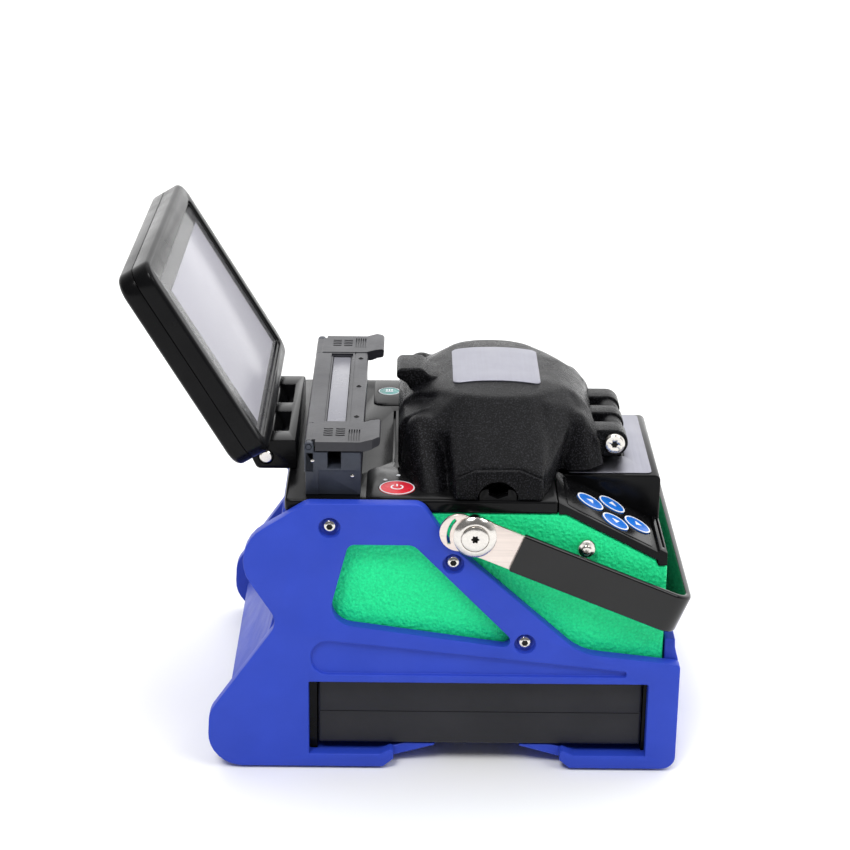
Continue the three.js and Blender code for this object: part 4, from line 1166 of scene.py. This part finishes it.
def grip(reach, half, thick, corner, start, height, edge):
    """The sleeved part of the bail, with its long edges rolled over."""
    steps = [k * math.pi / 14 for k in range(8)]
    levels = [(edge * (1 - math.sin(a)), edge * (1 - math.cos(a)) - height) for a in steps]
    levels += [(inset, -z) for inset, z in reversed(levels)]
    work = bmesh.new()
    rings = []
    for inset, z in levels:
        outer, inner = corner - inset, corner - thick + inset
        plan = rounded([(start + inset, inset - half), (reach - inset, inset - half, outer),
                        (reach - inset, half - inset, outer), (start + inset, half - inset),
                        (start + inset, half - thick + inset),
                        (reach - thick + inset, half - thick + inset, inner),
                        (reach - thick + inset, thick - inset - half, inner),
                        (start + inset, thick - inset - half),], 12)
        rings.append([work.verts.new((x, y, z)) for x, y in plan])
    for low, high in zip(rings, rings[1:]):
        for k in range(len(low)):
            n = (k + 1) % len(low)
            work.faces.new((low[k], low[n], high[n], high[k]))
    work.faces.new(list(reversed(rings[0])))
    work.faces.new(rings[-1])
    return scratch(work)


def handle_straps():
    outer, thick = 71.7, 1.4
    lobe = arc(-5.6, -0.9, 7.0, 60, 300, 24)
    strap_face = [(18, 6.9), (5, 6.9), (1.5, 7.3), *lobe, (1.5, -7.3), (5, -6.9), (18, -6.9)]
    for side, name in SIDES:
        low, high = sorted((side * outer, side * (outer - thick)))
        strap = prism(strap_face, low, high)
        slit = arc(0, 0, 9.9, 160, 220, 12) + arc(0, 0, 8.9, 220, 160, 12)
        strap = cut(strap, prism(slit, low - 1, high + 1), rod(0, 0, 3.2, low - 1, high + 1))
        strap = soften(strap, 0.25, 3)
        replaced = "handle_strap" if side < 0 else ()
        place(moved(strap, HANDLE_FRAME), "handle_strap_" + name, NICKEL, "handle", "nickel", replaced)


def handle_sleeve():
    sleeve = grip(81.2, 72.3, 2.6, 7, 16, 7.5, 1.15)
    place(moved(sleeve, HANDLE_FRAME), "handle_grip", SLEEVE_BLACK, "handle", "sleeve_black", "handle_sleeve")


def pivots_and_studs():
    """What the handle turns on, and the stud for a shoulder strap, on each side."""
    cap_profile = [(0, -63.2), (5, -63.2), (5, -69.9), (2.9, -70), (2.9, -71.9), (7.6, -71.9), (7.6, -72.4),
                   (5.9, -73.6), (5.0, -73.75), (4.9, -73.1), (4.7, -73.1), (4.65, -74.0), (3.9, -74.35),
                   (0, -74.4)]
    stud_profile = [(0, -62.8), (2.0, -63), (2.0, -65), (3.2, -65.1), (3.4, -65.5), (3.4, -66.4),
                    (2.9, -67.1), (1.8, -67.35), (1.7, -68.0), (1.4, -68.2), (0, -68.2)]
    for side, name in SIDES:
        seat = Matrix.Translation((HANDLE_PIVOT[0], 0, HANDLE_PIVOT[1])) @ facing(side)
        cap = cut(turned(cap_profile, segments=64), prism(star_outline(1.5), -76, -72.2))
        cap = moved(soften(cap, 0.1, 2), seat)
        # A dark plug on the floor of the star socket: painted shade in the recess.
        socket = moved(prism(star_outline(1.42), -72.7, -72.2), seat)
        place(socket, "handle_socket_" + name, SOCKET_SHADE, "machine", "nickel")
        place(cap, f"handle_pivot_{name}_cap", BRIGHT, "machine", "nickel", "handle_pivot_" + name)
        stud = cut(turned(stud_profile, segments=48), prism(polygon(0.8), -69, -67.4))
        moved(stud, Matrix.Translation((134.6, 0, 86.7)) @ facing(side))
        place(stud, f"strap_stud_{name}_turned", BRIGHT, "machine", "nickel", "strap_stud_" + name)


boot_sides()
boot_walls()
case_shells()
battery()
deck()
key_pads()
round_button("power_cap", "power_button", POWER_SPOT, POWER_RADIUS, "power_key", RED, 103.8, "red_button",
             power_mark)
round_button("heat_cap", "heat_button", HEAT_SPOT, HEAT_RADIUS, "heat_key", TEAL, 103.7, "teal_button",
             heater_mark)
keypad_wings()
arrow_keys()
front_box_parts()
monitor_back()
monitor_bezel()
monitor_screen()
monitor_screws()
monitor_hinge()
heater()
dress("heater_hinge_pin", HEATER_BLUE)
heater_lid()
heater_clamps()
hood()
hood_trim()
hood_knuckles()
hood_fittings()
stage()
handle_straps()
handle_sleeve()
pivots_and_studs()


# ---- camera
def look(camera, azimuth, pitch, roll):
    """Points the camera: azimuth from +y towards +x, pitch below level, roll clockwise."""
    level = math.cos(pitch)
    forward = Vector((math.sin(azimuth) * level, math.cos(azimuth) * level, -math.sin(pitch)))
    right = Vector((math.cos(azimuth), -math.sin(azimuth), 0))
    up = right.cross(forward)
    turned_right = math.cos(roll) * right + math.sin(roll) * up
    turned_up = -math.sin(roll) * right + math.cos(roll) * up
    rotation = Matrix((turned_right, turned_up, -forward)).transposed()
    camera.rotation_euler = rotation.to_euler()


def add_camera():
    data = bpy.data.cameras.new("camera")
    data.sensor_width = 36
    data.lens = 94.1
    data.clip_end = 20
    camera = add_object("camera", data)
    camera.location = at(71.6, -783.9, 403.9)
    look(camera, 0.0076, 0.3612, 0.0128)
    bpy.context.scene.camera = camera


def add_sun(name, azimuth, elevation, strength, spread):
    """A wide soft light from far away: azimuth 0 is in front of the near side, 90 is past the keypads."""
    data = bpy.data.lights.new(name, "SUN")
    data.energy = strength
    data.angle = math.radians(spread)
    lamp = add_object(name, data)
    a, e = math.radians(azimuth), math.radians(elevation)
    offset = Vector((math.sin(a) * math.cos(e), -math.cos(a) * math.cos(e), math.sin(e)))
    lamp.rotation_euler = offset.to_track_quat("Z", "Y").to_euler()


def add_floor():
    material = principled("floor_white", (0.90, 0.90, 0.90), 0.7)
    graph = Graph(material)
    graph.rough(graph.spread(graph.noise(3, 3), 0.6, 0.8))
    mesh = bpy.data.meshes.new("floor_mesh")
    half = 6
    corners = [(x, y, 0) for x, y in rectangle(-half, half, -half, half)]
    mesh.from_pydata(corners, [], [(0, 1, 2, 3)])
    mesh.materials.append(material)
    floor = add_object("floor", mesh)


def add_world():
    """A studio that is bright behind and above the object and dim in front of it."""
    world = bpy.data.worlds.new("studio")
    bpy.context.scene.world = world
    world.use_nodes = True
    tree = world.node_tree
    place = tree.nodes.new("ShaderNodeTexCoord")
    facing = tree.nodes.new("ShaderNodeVectorMath")
    facing.operation = "DOT_PRODUCT"
    facing.inputs[1].default_value = (0.35, 0.937, 0)
    ramp = tree.nodes.new("ShaderNodeMapRange")
    ramp.interpolation_type = "SMOOTHSTEP"
    for socket, value in (("From Min", -0.6), ("From Max", 0.9), ("To Min", 0.22), ("To Max", 1.7)):
        ramp.inputs[socket].default_value = value
    tree.nodes["Background"].inputs["Color"].default_value = (1, 1, 1, 1)
    tree.links.new(place.outputs["Generated"], facing.inputs[0])
    tree.links.new(facing.outputs["Value"], ramp.inputs["Value"])
    tree.links.new(ramp.outputs["Result"], tree.nodes["Background"].inputs["Strength"])


add_camera()
add_floor()
add_world()
add_sun("key", -22, 56, 1.5, 20)
add_sun("kicker", 52, 47, 0.6, 24)
add_sun("overhead", 180, 82, 0.8, 60)

scene = bpy.context.scene
scene.view_settings.view_transform = "Standard"
scene.view_settings.look = "None"
